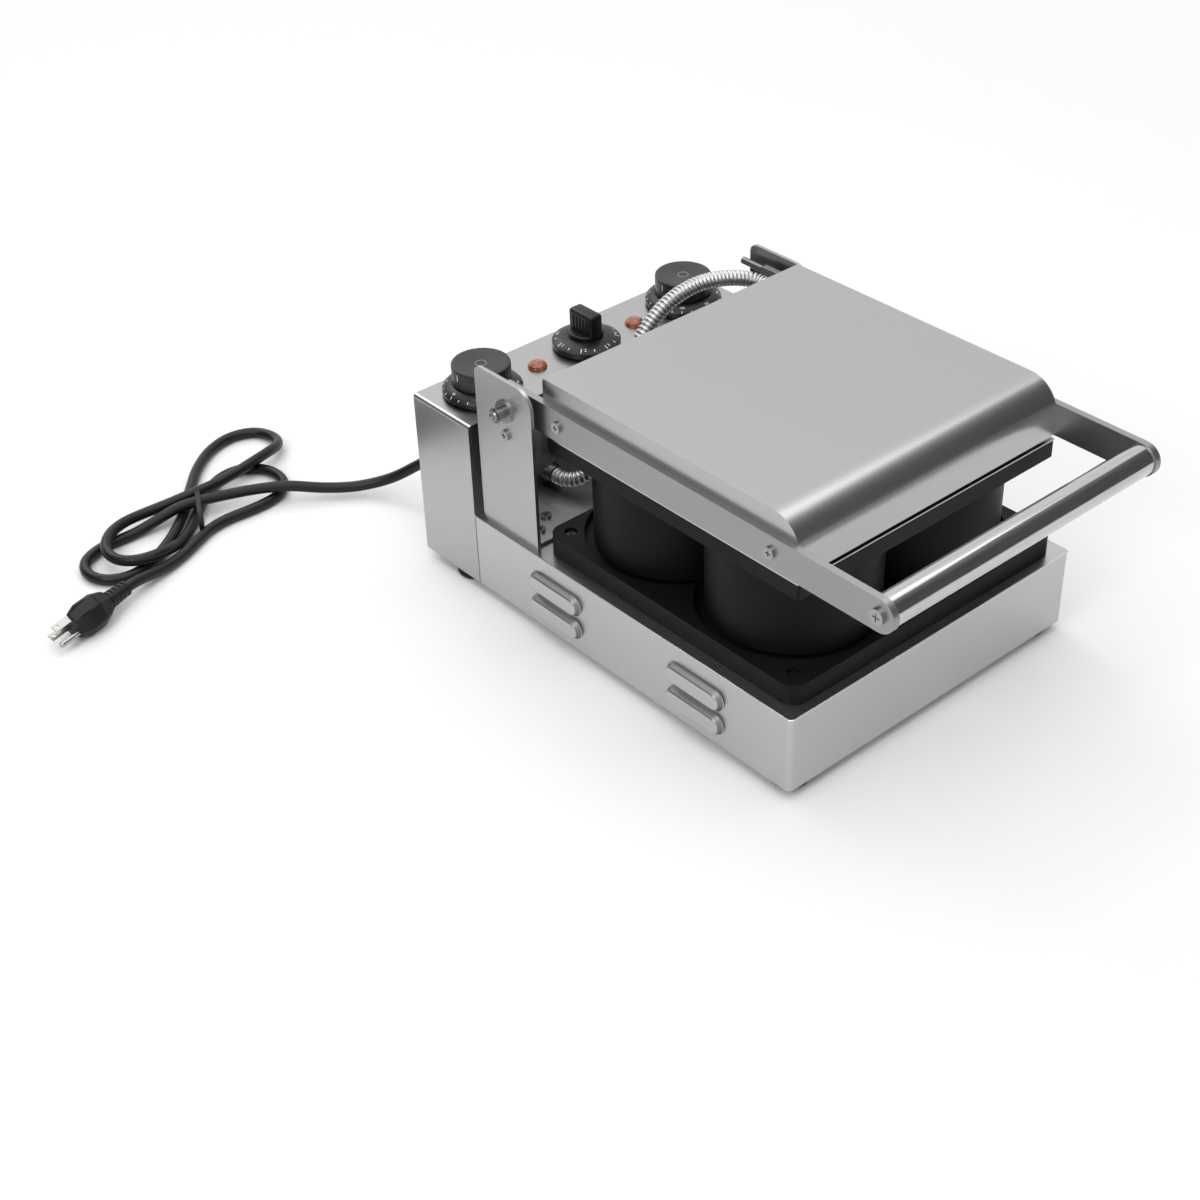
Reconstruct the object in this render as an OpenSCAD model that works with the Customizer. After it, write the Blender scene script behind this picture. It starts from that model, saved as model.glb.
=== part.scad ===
// Four-cup waffle bowl maker: a stainless base with a control housing at the rear,
// a dark lower mould on the deck, and a hinged lid that carries four hollow plungers.
// Frame: +X right and +Z up as seen by the operator, who stands at -Y. Millimetres.

/* [Base] */
// Width of the base
base_w = 300; // [290:1:340]
// Height of the base above its feet
base_h = 65; // [58:1:90]
// Thickness of the stainless sheet
sheet = 1.5; // [1:0.1:2.5]
// Height of the rubber feet
foot_h = 8; // [5:0.5:20]
// Radius of the rubber feet
foot_r = 15; // [10:0.5:18]
// Free deck between the brackets and the control housing
rear_gap = 8; // [4:0.5:40]
// Depth of the control housing
housing_l = 70; // [66:1:90]
// Height of the control housing above the deck
housing_h = 81; // [75:1:120]

/* [Louvers] */
// Length of one pressed louver
louver_l = 60; // [45:1:65]
// Height of the cut of one louver
louver_h = 19; // [14:1:20]
// How far a louver stands out of its wall
louver_out = 4.5; // [3:0.1:5]
// Width of the slit above the lip
louver_slit = 4; // [3:0.1:6]
// Distance of the front louvers from the front of the base
louver_front = 96; // [60:1:110]
// Distance of the rear louvers from the front of the base
louver_rear = 252; // [200:1:280]

/* [Moulds] */
// Deck left free on each side of the lower mould
slab_side = 10; // [8:0.5:11]
// Depth of the lower mould slab
slab_l = 266; // [264:1:268]
// Thickness of the slab above the deck
slab_t = 17; // [14:0.5:24]
// Corner radius of the slab
slab_r = 14; // [6:1:18]
// Sideways spacing of the cups
cup_pitch_x = 128; // [126:0.5:128.5]
// Front to back spacing of the cups
cup_pitch_y = 122; // [120:0.5:124]
// Radius of a plunger body
plunger_r = 64.6; // [64.4:0.1:66]
// Height of a plunger body below its plate
plunger_h = 72.5; // [60:0.5:80]
// Radius of the recess that a plunger lowers into
recess_r = 72; // [70:0.5:73]
// Depth of that recess
recess_d = 6; // [4:0.5:8]
// Radius of a bowl at its rim
bowl_r = 56; // [50:0.5:57]
// Radius of a bowl at its floor
bowl_floor_r = 27; // [22:0.5:30]
// Depth of a bowl below the recess floor
bowl_d = 32; // [26:0.5:34]
// Thickness of the baked bowl
bake_gap = 3.5; // [3:0.1:4]
// Wall thickness of the mould castings
cast_wall = 6; // [5:0.5:8]
// Thickness of the upper mould plate
plate_t = 13; // [10:0.5:16]
// How far the upper mould plate reaches past the cover on each side
plate_side = 1; // [0:0.5:3]

/* [Lid] */
// Height of the lid cover
cover_h = 46.5; // [42:0.5:60]
// Gap between the lid pan and the edge of the cover
cover_lift = 3.5; // [2:0.1:4.5]
// Bend radius at the cover's front edge
cover_bend = 26; // [12:0.5:30]
// Thickness of the side arms
arm_t = 5.5; // [4:0.5:6]
// Height of the side arms
arm_h = 26; // [22:0.5:30]
// Reach of the arms in front of the cover, to the handle's axis
arm_reach = 75; // [60:1:110]
// Diameter of the handle tube
handle_d = 24; // [18:0.5:25]

/* [Hinge] */
// Distance of each bracket from the side of the base
bracket_side = 4; // [2:0.5:6]
// Thickness of a bracket
bracket_t = 3; // [2.5:0.1:4]
// Front to back width of a bracket
bracket_l = 66; // [58:0.5:67]
// Height of the brackets above the hinge axis
bracket_rise = 26; // [20:0.5:34]
// Reach of the bracket foot over the deck
bracket_foot = 44; // [36:0.5:48]
// Height of the hinge axis above the lower edge of the arms
pivot_rise = 8.5; // [6.5:0.5:13]
// Diameter of the hinge pins
pin_d = 9; // [8:0.5:11]
// Radial clearance of the hinge pins in the arms
pin_play = 0.05; // [0.02:0.01:0.1]
// Length of the stop rods behind the arms
stop_rod_l = 24; // [20:0.5:26]
// Gap between the arms and the stop bushes below them
stop_gap = 8; // [6:0.5:12]

/* [Controls] */
// Sideways place of the two thermostat knobs
knob_x = 107.5; // [102:0.5:112]
// Sideways place of the two lamps
lamp_x = 52; // [48:0.5:58]
// Radius of a thermostat bezel
bezel_r = 32; // [27:0.5:33]
// Radius of the timer bezel
timer_bezel_r = 28; // [24:0.5:30]
// Height of a bezel
bezel_h = 10; // [6:0.5:12]
// Radius of a thermostat knob
knob_r = 23.3; // [18:0.1:24]
// Height of a knob above its bezel
knob_h = 16; // [12:0.5:22]
// Radius of the control shafts
shaft_r = 3; // [2.5:0.1:3.5]
// Radius of a lamp lens
lamp_r = 8; // [6:0.1:9]

/* [Cables] */
// Diameter of the mains cord
cord_d = 9.4; // [8:0.1:10]
// Outside diameter of the metal hose
hose_d = 13; // [11:0.5:14]
// Height of the cord gland above the standing surface
gland_z = 50; // [44:1:60]
// Sideways place of the cord gland
gland_x = -92; // [-100:1:-80]

/* [Hidden] */

steel = [0.76, 0.76, 0.77];
dark_cast = [0.13, 0.13, 0.14];
black = [0.08, 0.08, 0.09];
amber = [0.85, 0.45, 0.15];
$fn = 64;

// Heights of the main planes
deck_z = foot_h + base_h;
slab_top = deck_z + slab_t;
recess_z = slab_top - recess_d;
seat_gap = 2;
plunger_z = recess_z + seat_gap;
plate_z = plunger_z + plunger_h;
plate_top = plate_z + plate_t;
pan_top = plate_top + sheet;
cover_top = pan_top + cover_h;
housing_top = deck_z + housing_h;
arm_drop = 5;
arm_z = plate_top + arm_drop;
arm_mid = arm_z + arm_h / 2;
pivot_z = arm_z + pivot_rise;
bracket_h = pivot_z + bracket_rise - deck_z;

// Places along Y, with the origin midway between the arms' ends and the rear screws
slab_margin = 8;
plate_set = 6;
cover_set = 0.5;
rear_head_h = 1.8;
bracket_gap = 2;
base_l = slab_margin + slab_l + bracket_gap + bracket_l + rear_gap + housing_l;
overhang = arm_reach + arm_h / 2 - slab_margin - plate_set - cover_set;
front_y = (overhang - base_l - rear_head_h) / 2;
rear_y = front_y + base_l;
housing_y = rear_y - housing_l;
slab_y = front_y + slab_margin + slab_l / 2;
cup_shift = 4;
cup_y = slab_y + cup_shift;
plate_front = slab_y - slab_l / 2 + plate_set;
plate_rear = slab_y + slab_l / 2 + 2;
cover_front = plate_front + cover_set;
cover_rear = plate_rear + 2.5;
bracket_y = slab_y + slab_l / 2 + bracket_gap;
pivot_y = bracket_y + bracket_l / 2 - 2;
control_y = rear_y - housing_l / 2;

// Places along X
slab_w = base_w - 2 * slab_side;
bracket_span = base_w - 2 * bracket_side;
arm_gap = 6;
arm_outer = bracket_span / 2 - bracket_t - arm_gap;
arm_inner = arm_outer - arm_t;
cover_w = 2 * arm_inner;
plate_w = cover_w + 2 * plate_side;

// Arms
arm_tail = pivot_y + 11;
handle_y = cover_front - arm_reach;
arm_screw_y = [cover_rear - 22, cover_front + 22];

// Bowl castings
cavity_r = bowl_r + bake_gap;
cavity_floor_r = bowl_floor_r + bake_gap;
boss_z = recess_z - bowl_d - bake_gap - cast_wall;
boss_r = cavity_r + 3.7;
heater_d = 7;
shield_z = boss_z - heater_d - sheet;
draft = (bowl_r - bowl_floor_r) / bowl_d;

// Screws: head radius, head height, shank radius
pan_head = [4.5, 2.4, 2.5];
small_head = [3.5, rear_head_h, 2];

// Cable routes, as hand-placed points of their centre lines. The cord's points are
// counted from the rear of the base, the hose's from the hinge axis.
lead_path = [
    [gland_x, 36, gland_z], [gland_x, 46, gland_z - 0.8], [-95, 57, 45],
    [-100, 69, 37], [-107, 80.5, 27.5], [-116, 92, 18.5], [-128, 104, 12.5],
    [-144, 116.5, 9.5], [-165, 132.5, 10.5], [-188, 149.5, 14.6], [-212, 165, 14.4]
];
tail_path = [
    [-267, 152, 4.8], [-285, 143.5, 4.8], [-305, 134, 4.8], [-324, 127.5, 6.2],
    [-342, 122.4, 9.5], [-356, 118.5, 12.3], [-368, 115, 13]
];
hank_lobes = [
    [[-172, 240, 32.5], [-218, 222, 32], [-205, 182, 33], [-242, 179, 32]],
    [[-258, 178, 29], [-303, 172, 35], [-349, 165, 32.5]]
];
hank_h = 2 * cord_d + 1;
tie_place = [-262, 174];
tie_angle = 62;
tie_l = 48;
plug_angle = 196.6;
plug_roll = -29.5;
hose_x = -76;
hose_z = 84;
entry_x = 112;
entry_z = pan_top + 29;
ferrule_l = 12;
hose_gap = 0.3;
hose_out = housing_y - pivot_y - ferrule_l - hose_gap;
hose_path = [
    [hose_x, hose_out, hose_z], [hose_x, hose_out - 3.7, hose_z],
    [hose_x, hose_out - 7.7, hose_z], [hose_x + 8, 11, hose_z + 3],
    [hose_x + 26, 6, hose_z + 18], [hose_x + 44, 8, hose_z + 46],
    [entry_x - 127, 11, entry_z - 42], [entry_x - 108, 13, entry_z - 15],
    [entry_x - 82, 13, entry_z + 3], [entry_x - 52, 12, entry_z + 9],
    [entry_x - 26, 8, entry_z + 7], [entry_x - 8, 1, entry_z + 3],
    [entry_x - 1, -7, entry_z + 0.5], [entry_x, -12, entry_z],
    [entry_x, cover_rear - pivot_y + ferrule_l + hose_gap, entry_z]
];

// ---------- helpers ----------

// Rectangle with round corners, centred
module round_rect(w, l, r) {
    square([w - 2 * r, l], center = true);
    square([w, l - 2 * r], center = true);
    for (x = [-1, 1], y = [-1, 1])
        translate([x * (w / 2 - r), y * (l / 2 - r)])
            circle(r);
}

// Places its children at the four cup centres
module at_cups() {
    for (x = [-1, 1], y = [-1, 1])
        translate([x * cup_pitch_x / 2, cup_y + y * cup_pitch_y / 2, 0])
            children();
}

// Copies its children to the left and the right side
module both_sides() {
    children();
    mirror([1, 0, 0])
        children();
}

// Points its children's +Z along +X
module along_x() {
    rotate([0, 90, 0])
        children();
}

// Points its children's +Z along +Y
module along_y() {
    rotate([-90, 0, 0])
        children();
}

// Pan-head screw, head on z = 0 and upwards, shank downwards, cross recess in the head
module pan_screw(head, shank_l) {
    difference() {
        union() {
            cylinder(h = head[1], r = head[0]);
            translate([0, 0, -shank_l])
                cylinder(h = shank_l + 0.1, r = head[2]);
        }
        for (a = [0, 90])
            rotate(a)
                translate([-head[0] * 0.55, -0.5, head[1] - 1])
                    cube([head[0] * 1.1, 1, 2]);
    }
}

// Smooth curve through control points
function spline_point(p, i, t) =
    let (a = p[max(i - 1, 0)], b = p[i], c = p[i + 1], d = p[min(i + 2, len(p) - 1)])
    0.5 * (2 * b + (c - a) * t + (2 * a - 5 * b + 4 * c - d) * t * t
           + (3 * b - a - 3 * c + d) * t * t * t);
function spline(p, steps) = concat(
    [for (i = [0 : len(p) - 2], s = [0 : steps - 1]) spline_point(p, i, s / steps)],
    [p[len(p) - 1]]
);
function unit(v) = v / norm(v);
function tangent(c, i) = unit(c[min(i + 1, len(c) - 1)] - c[max(i - 1, 0)]);
function ring(c, i, r, sides, side_hint) =
    let (t = tangent(c, i), u = unit(cross(side_hint, t)), v = cross(t, u))
    [for (k = [0 : sides - 1]) c[i] + r * (cos(360 * k / sides) * u + sin(360 * k / sides) * v)];

// Round tube swept along a curve
module tube(path, d, steps, sides, side_hint) {
    c = spline(path, steps);
    n = len(c);
    points = [for (i = [0 : n - 1]) each ring(c, i, d / 2, sides, side_hint)];
    walls = [for (i = [0 : n - 2], k = [0 : sides - 1])
        [i * sides + k, i * sides + (k + 1) % sides,
         (i + 1) * sides + (k + 1) % sides, (i + 1) * sides + k]];
    start = [for (k = [sides - 1 : -1 : 0]) k];
    end = [for (k = [0 : sides - 1]) (n - 1) * sides + k];
    polyhedron(points, concat([start, end], walls), convexity = 6);
}

// ---------- base ----------

// Rounded slot shape of one louver, lying in the YZ plane
module louver_outline(grow) {
    r = louver_h / 2 + grow;
    for (y = [-1, 1])
        translate([y * (louver_l - louver_h) / 2, 0])
            circle(r);
    square([louver_l - louver_h, 2 * r], center = true);
}

// Sausage body that a louver hood is pressed to, its axis inside the wall
module louver_body(grow) {
    chord = louver_h / 2;
    r = (chord * chord + louver_out * louver_out) / (2 * louver_out);
    translate([r - louver_out, 0, 0]) {
        along_y()
            translate([0, 0, -(louver_l - louver_h) / 2])
                cylinder(h = louver_l - louver_h, r = r + grow);
        for (y = [-1, 1])
            translate([0, y * (louver_l - louver_h) / 2, 0])
                sphere(r + grow);
    }
}

// One hood on the left wall: a thin pressed shell, open along its top
module louver_hood() {
    intersection() {
        difference() {
            louver_body(0);
            louver_body(-1);
        }
        translate([-louver_out - 1, 0, -louver_slit])
            rotate([90, 0, 90])
                linear_extrude(louver_out + 1 + 0.2)
                    louver_outline(0);
    }
}

module louver_places() {
    for (y = [louver_front, louver_rear], z = [louver_low, louver_low + louver_pitch])
        translate([-base_w / 2 + wall_inset, front_y + y, foot_h + z])
            children();
}

louver_low = 18.5;
louver_pitch = 22;
wall_inset = 0.5;
wall_top = deck_z - sheet;

// Three-sided pan of the base, open behind, with eight louvers
module base_shell() {
    color(steel) {
        difference() {
            translate([0, 0, foot_h])
                linear_extrude(base_h - sheet)
                    difference() {
                        shell_outline(wall_inset);
                        shell_outline(wall_inset + sheet);
                        translate([-base_w, housing_y])
                            square([2 * base_w, base_l]);
                    }
            both_sides()
                louver_places()
                    translate([-1, 0, 0])
                        rotate([90, 0, 90])
                            linear_extrude(sheet + 2)
                                louver_outline(-1);
        }
        both_sides()
            louver_places()
                louver_hood();
    }
}

// Outline of the base with round front corners, pulled in by inset
module shell_outline(inset) {
    r = 5 - inset;
    translate([0, housing_y / 2 + front_y / 2 + 10])
        round_rect(base_w - 2 * inset, housing_y - front_y + 20 - 2 * inset, r);
}

// Flat top sheet with the opening for the lower mould
module deck() {
    color(steel)
        translate([0, 0, deck_z - sheet])
            linear_extrude(sheet)
                difference() {
                    intersection() {
                        shell_outline(0);
                        translate([-base_w, front_y])
                            square([2 * base_w, housing_y - front_y]);
                    }
                    at_cups()
                        circle(boss_r + 1.5);
                    translate([0, cup_y]) {
                        square([cup_pitch_x + boss_r, cup_pitch_y], center = true);
                        square([cup_pitch_x, cup_pitch_y + boss_r], center = true);
                    }
                }
}

plate_inset = wall_inset + sheet + 0.3;
vent_pitch_x = 60;
vent_pitch_y = 20;

// Underside plate with three rows of vent slots
module bottom_plate() {
    color(steel)
        translate([0, 0, foot_h])
            linear_extrude(sheet)
                difference() {
                    translate([0, front_y + base_l / 2])
                        round_rect(base_w - 2 * plate_inset, base_l - 2 * plate_inset, 3);
                    for (x = [-1 : 1], y = [-3.5 : 3.5])
                        translate([x * vent_pitch_x, cup_y + y * vent_pitch_y])
                            round_rect(40, 6, 2.9);
                }
}

foot_x = 131;
foot_front_y = front_y + 22;
foot_rear_y = rear_y - 40;

// Tapered rubber foot with a recess for its screw
module foot(x, y) {
    color(black)
        translate([x, y, 0])
            rotate_extrude()
                polygon([[6, 0], [foot_r - 1.5, 0], [foot_r, 1.5], [foot_r - 1, foot_h],
                         [pan_head[2], foot_h], [pan_head[2], 3], [6, 3]]);
}

module foot_front_left() { foot(-foot_x, foot_front_y); }
module foot_front_right() { foot(foot_x, foot_front_y); }
module foot_rear_left() { foot(-foot_x, foot_rear_y); }
module foot_rear_right() { foot(foot_x, foot_rear_y); }

// Screws up through the feet, their heads seated in the recesses
module foot_screws() {
    color(steel)
        for (x = [-foot_x, foot_x], y = [foot_front_y, foot_rear_y])
            translate([x, y, 3])
                rotate([180, 0, 0])
                    pan_screw([4.5, 2.2, 2.45], foot_h - 3);
}

// ---------- lower mould ----------

// Bowl-shaped solid: a frustum with its rim at z = 0, going down
module bowl_form(rim_r, floor_r, depth) {
    rotate_extrude()
        polygon([[0, 0], [rim_r, 0], [floor_r + 3, -depth + 0.8], [floor_r, -depth], [0, -depth]]);
}

grid_w = 2.4;
grid_rings = 3;
grid_spokes = 14;

// Waffle grid for a bowl surface: rings and spokes centred on its wall, bars on its floor
module waffle_grid(rim_r, floor_r, depth) {
    foot = [floor_r + 3, 0.8 - depth];
    slope = atan2(rim_r - foot[0], -foot[1]);
    wall_l = norm([rim_r - foot[0], foot[1]]);
    for (i = [1 : grid_rings])
        rotate_extrude()
            translate([rim_r, 0] + (foot - [rim_r, 0]) * i / (grid_rings + 0.6))
                rotate(-slope)
                    square(grid_w, center = true);
    for (i = [0 : grid_spokes - 1])
        rotate(360 * (i + 0.5) / grid_spokes)
            translate([(rim_r + foot[0]) / 2, 0, foot[1] / 2])
                rotate([0, slope, 0])
                    cube([grid_w, grid_w, wall_l - 6], center = true);
    for (a = [0, 90], x = [-16, 0, 16])
        rotate(a)
            translate([x, 0, -depth])
                cube([grid_w, 2 * sqrt(floor_r * floor_r - x * x) - 3, grid_w], center = true);
}

mould_screw_x = slab_w / 2 - 15;
mould_screw_y = [slab_y - slab_l / 2 + 15, slab_y + slab_l / 2 - 13];

// Casting with four bowl cavities, each in a shallow round recess
module lower_mould() {
    color(dark_cast)
        difference() {
            union() {
                translate([0, slab_y, deck_z])
                    linear_extrude(slab_t)
                        round_rect(slab_w, slab_l, slab_r);
                at_cups()
                    translate([0, 0, boss_z])
                        cylinder(h = deck_z - boss_z + 1, r = boss_r);
            }
            at_cups() {
                translate([0, 0, recess_z])
                    cylinder(h = recess_d + 1, r = recess_r);
                translate([0, 0, recess_z])
                    bowl_form(cavity_r, cavity_floor_r, bowl_d + bake_gap);
                translate([0, 0, recess_z - 0.5])
                    cylinder(h = 1, r = cavity_r);
                translate([0, 0, recess_z])
                    waffle_grid(cavity_r, cavity_floor_r, bowl_d + bake_gap);
            }
            for (x = [-mould_screw_x, mould_screw_x], y = mould_screw_y)
                translate([x, y, deck_z - 1]) {
                    cylinder(h = slab_t + 2, r = 2.6);
                    translate([0, 0, slab_t - 4])
                        cylinder(h = 10, r = 5);
                }
        }
}

// Four screws in the counterbores of the slab
module mould_screws() {
    color(steel)
        for (x = [-mould_screw_x, mould_screw_x], y = mould_screw_y)
            translate([x, y, slab_top - 5])
                pan_screw([4.5, 2.4, 2.5], slab_t - 5);
}

// Ring elements clamped under the cups
module ring_element(r) {
    rotate_extrude(angle = 330)
        translate([r, 0])
            circle(heater_d / 2);
}

module lower_heaters() {
    color([0.45, 0.42, 0.4])
        at_cups()
            translate([0, 0, boss_z - heater_d / 2])
                rotate(105)
                    ring_element(cavity_floor_r + 8);
}

tray_gap = 2;

// Sheet tray that holds the elements up and keeps the heat off the bottom plate
module lower_shield() {
    w = cup_pitch_x + 2 * (boss_r + tray_gap + sheet);
    l = cup_pitch_y + 2 * (boss_r + tray_gap + sheet);
    color(steel)
        translate([-w / 2, cup_y - l / 2, shield_z])
            difference() {
                cube([w, l, wall_top - shield_z]);
                translate([sheet, sheet, sheet])
                    cube([w - 2 * sheet, l - 2 * sheet, wall_top]);
            }
}

// Thermostat bulb between the cups
module lower_probe() {
    color([0.72, 0.45, 0.3])
        translate([0, cup_y, deck_z - 30])
            cylinder(h = 30, r = 3.5);
}

// ---------- control housing ----------

housing_bend = 3;

// Wrap of the housing: top, front and both sides, the sides down to the bottom edge
module control_housing() {
    color(steel)
        difference() {
            translate([0, rear_y, 0])
                rotate([90, 0, 0])
                    linear_extrude(housing_l)
                        housing_outline(0);
            translate([0, rear_y + 1, 0])
                rotate([90, 0, 0])
                    linear_extrude(housing_l - sheet + 1)
                        housing_outline(sheet);
            translate([0, housing_y - 1, foot_h - 1])
                rotate([-90, 0, 0])
                    mirror([0, 1, 0])
                        linear_extrude(sheet + 2)
                            translate([0, (deck_z - foot_h - sheet + 1) / 2])
                                square([base_w - 2 * sheet, deck_z - foot_h - sheet + 1], center = true);
            for (x = [-knob_x, 0, knob_x])
                translate([x, control_y, housing_top - 5])
                    cylinder(h = 10, r = shaft_r + 1);
            for (x = [-lamp_x, lamp_x])
                translate([x, control_y, housing_top - 5])
                    cylinder(h = 10, r = lamp_r - 1.4);
            translate([hose_x, housing_y - 1, hose_z])
                along_y()
                    cylinder(h = 5, r = 5.05);
        }
}

// Front view outline of the housing, its top corners bent
module housing_outline(inset) {
    w = base_w / 2 - inset;
    r = housing_bend - inset;
    top = housing_top - inset;
    translate([-w, foot_h])
        square([2 * w, top - r - foot_h]);
    translate([r - w, foot_h])
        square([2 * (w - r), top - foot_h]);
    for (x = [r - w, w - r])
        translate([x, top - r])
            circle(r);
}

panel_inset = sheet + 0.2;
panel_l = housing_top - foot_h - 2 * sheet - 0.6;

// Rear panel, set between the sides
module rear_panel() {
    color(steel)
        translate([0, rear_y - 0.01, 0])
            rotate([90, 0, 0])
                linear_extrude(sheet)
                    difference() {
                        translate([0, (housing_top + foot_h) / 2 - 0.1])
                            round_rect(base_w - 2 * panel_inset, panel_l, 2);
                        translate([gland_x, gland_z])
                            circle(8.05);
                        for (x = [40 : 12 : 112])
                            translate([x, 60])
                                round_rect(5, 50, 2.4);
                    }
}

rear_screw_x = base_w / 2 - 12;

module rear_panel_screws() {
    color(steel)
        for (x = [-rear_screw_x, 0, rear_screw_x], z = [foot_h + 12, housing_top - 12])
            translate([x, rear_y, z])
                along_y()
                    pan_screw(small_head, 0);
}

panel_under = housing_top - sheet;

// Capillary thermostat body under the panel
module thermostat(x) {
    color([0.85, 0.85, 0.83])
        translate([x, control_y, panel_under - 30])
            difference() {
                translate([-17, -20, 0])
                    cube([34, 40, 30]);
                translate([0, 0, 18])
                    cylinder(h = 20, r = shaft_r + pin_play);
            }
}

module thermostat_left() { thermostat(-knob_x); }
module thermostat_right() { thermostat(knob_x); }

// Clockwork timer under the panel
module timer() {
    color([0.8, 0.8, 0.8])
        translate([0, control_y, panel_under - 34])
            difference() {
                union() {
                    cylinder(h = 34, r = 21);
                    translate([-25, -6, 32])
                        cube([50, 12, 2]);
                }
                translate([0, 0, 22])
                    cylinder(h = 20, r = shaft_r + pin_play);
            }
}

// Neon lamp with a domed lens and its body through the panel
module lamp(x) {
    color(amber)
        translate([x, control_y, housing_top])
            rotate_extrude()
                polygon([[0, -22], [lamp_r - 1.5, -22], [lamp_r - 1.5, 0], [lamp_r, 0], [lamp_r, 1],
                         [lamp_r - 1, 3], [lamp_r - 3, 4.4], [0, 5]]);
}

module lamp_left() { lamp(-lamp_x); }
module lamp_right() { lamp(lamp_x); }

module terminal_block() {
    color([0.9, 0.88, 0.8])
        translate([20, control_y, foot_h + sheet])
            difference() {
                translate([-30, -9, 0])
                    cube([60, 18, 16]);
                for (x = [-20 : 10 : 20])
                    translate([x, 0, 8])
                        cylinder(h = 10, r = 2.2);
            }
}

undercut = 2.5;

// Bell-shaped bezel for the scale of a knob: undercut foot, upright rim, round shoulder
module bezel(x, r, rim, top_r) {
    shoulder = [for (a = [0 : 15 : 90])
        [top_r + (r - top_r) * (cos(a) + 1 - a / 90) / 2,
         rim + (bezel_h - rim) * (sin(a) + a / 90) / 2]];
    color(black)
        translate([x, control_y, housing_top])
            rotate_extrude()
                polygon(concat([[shaft_r + 1.5, 0], [r - undercut, 0], [r - undercut, 1.5], [r, 2]],
                               shoulder, [[shaft_r + 1.5, bezel_h]]));
}

module bezel_left() { bezel(-knob_x, bezel_r, 5, bezel_r - 7.5); }
module bezel_middle() { bezel(0, timer_bezel_r, 6, grip_l / 2 + 2); }
module bezel_right() { bezel(knob_x, bezel_r, 5, bezel_r - 7.5); }

knob_z = housing_top + bezel_h + 0.4;
bore_d = 12;

// Round thermostat knob with an index rib on its side
module round_knob(x) {
    color(black)
        translate([x, control_y, knob_z])
            difference() {
                union() {
                    rotate_extrude()
                        polygon([[0, 0], [knob_r - 1, 0], [knob_r, 1], [knob_r, knob_h - 2],
                                 [knob_r - 1.5, knob_h - 0.4], [knob_r - 4, knob_h], [6, knob_h - 0.8],
                                 [0, knob_h - 0.8]]);
                    translate([-knob_r - 0.5, -0.8, 1.5])
                        cube([2, 1.6, knob_h - 4]);
                }
                translate([0, 0, -1])
                    cylinder(h = bore_d + 1, r = shaft_r + 0.02);
            }
}

grip_l = 27.5;
grip_t = 13.5;
grip_h = 21;
hub_h = 3.5;
flutes = 5;

// Outline of the bar grip from above, its long sides fluted
module grip_outline() {
    difference() {
        round_rect(grip_t, grip_l, 2.5);
        for (x = [-1, 1], i = [0 : flutes - 1])
            translate([x * (grip_t / 2 + 0.7), (i - (flutes - 1) / 2) * (grip_l - 5) / flutes])
                circle(1.7);
    }
}

// Timer knob: a low hub with an upright bar grip across it, narrower at the top
module bar_knob(x) {
    top = hub_h + grip_h;
    w = grip_t / 2 + 1;
    color(black)
        translate([x, control_y, knob_z])
            difference() {
                union() {
                    rotate_extrude()
                        polygon([[0, 0], [grip_l / 2 + 0.5, 0], [grip_l / 2 + 0.5, hub_h - 1],
                                 [grip_l / 2 - 0.5, hub_h], [0, hub_h]]);
                    intersection() {
                        linear_extrude(top)
                            grip_outline();
                        rotate([90, 0, 0])
                            linear_extrude(grip_l + 2, center = true)
                                polygon([[-w, 0], [w, 0], [w - 2, top - 1.2], [w - 3.2, top],
                                         [3.2 - w, top], [2 - w, top - 1.2]]);
                    }
                }
                translate([0, 0, -1])
                    cylinder(h = bore_d + 1, r = shaft_r + 0.02);
            }
}

module knob_left() { round_knob(-knob_x); }
module knob_middle() { bar_knob(0); }
module knob_right() { round_knob(knob_x); }

// Control shaft from inside the switch up into the knob
module shaft(x) {
    color(steel)
        translate([x, control_y, panel_under - 11.8])
            cylinder(h = knob_z + bore_d - 0.2 - panel_under + 11.8, r = shaft_r);
}

module shaft_left() { shaft(-knob_x); }
module shaft_middle() { shaft(0); }
module shaft_right() { shaft(knob_x); }

// ---------- hinge ----------

stop_bush_r = 4;
stop_z = arm_z - stop_gap - stop_bush_r;
bracket_x = bracket_span / 2;
foot_screw_places = [[bracket_foot - bracket_x - 11, pivot_y - 1],
                     [bracket_foot - bracket_x - 27, pivot_y - 13]];

// Left bracket: an upright plate bent to a foot on the deck
module bracket() {
    color(steel)
        difference() {
            union() {
                translate([-bracket_x, bracket_y, deck_z])
                    rotate([90, 0, 90])
                        linear_extrude(bracket_t)
                            bracket_outline();
                translate([-bracket_x, bracket_y + 4, deck_z])
                    cube([bracket_foot, bracket_l - 8, bracket_t]);
            }
            translate([-bracket_x - 1, pivot_y, pivot_z])
                along_x()
                    cylinder(h = bracket_t + 2, r = pin_d / 2 + pin_play);
            translate([-bracket_x - 1, pivot_y, stop_z])
                along_x()
                    cylinder(h = bracket_t + 2, r = 2.6);
            for (p = foot_screw_places)
                translate([p[0], p[1], deck_z - 1])
                    cylinder(h = bracket_t + 2, r = 2.6);
        }
}

// Side view of the upright plate, all but its lower front corner rounded
module bracket_outline() {
    r_front = 16;
    r_rear = 7;
    translate([r_front, 0])
        square([bracket_l - r_front - r_rear, bracket_h]);
    square([bracket_l - r_rear, bracket_h - r_front]);
    translate([bracket_l - r_front, r_rear])
        square([r_front, bracket_h - 2 * r_rear]);
    translate([bracket_l - r_rear, r_rear])
        circle(r_rear);
    translate([r_front, bracket_h - r_front])
        circle(r_front);
    translate([bracket_l - r_rear, bracket_h - r_rear])
        circle(r_rear);
}

module bracket_left() { bracket(); }
module bracket_right() { mirror([1, 0, 0]) bracket(); }

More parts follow.
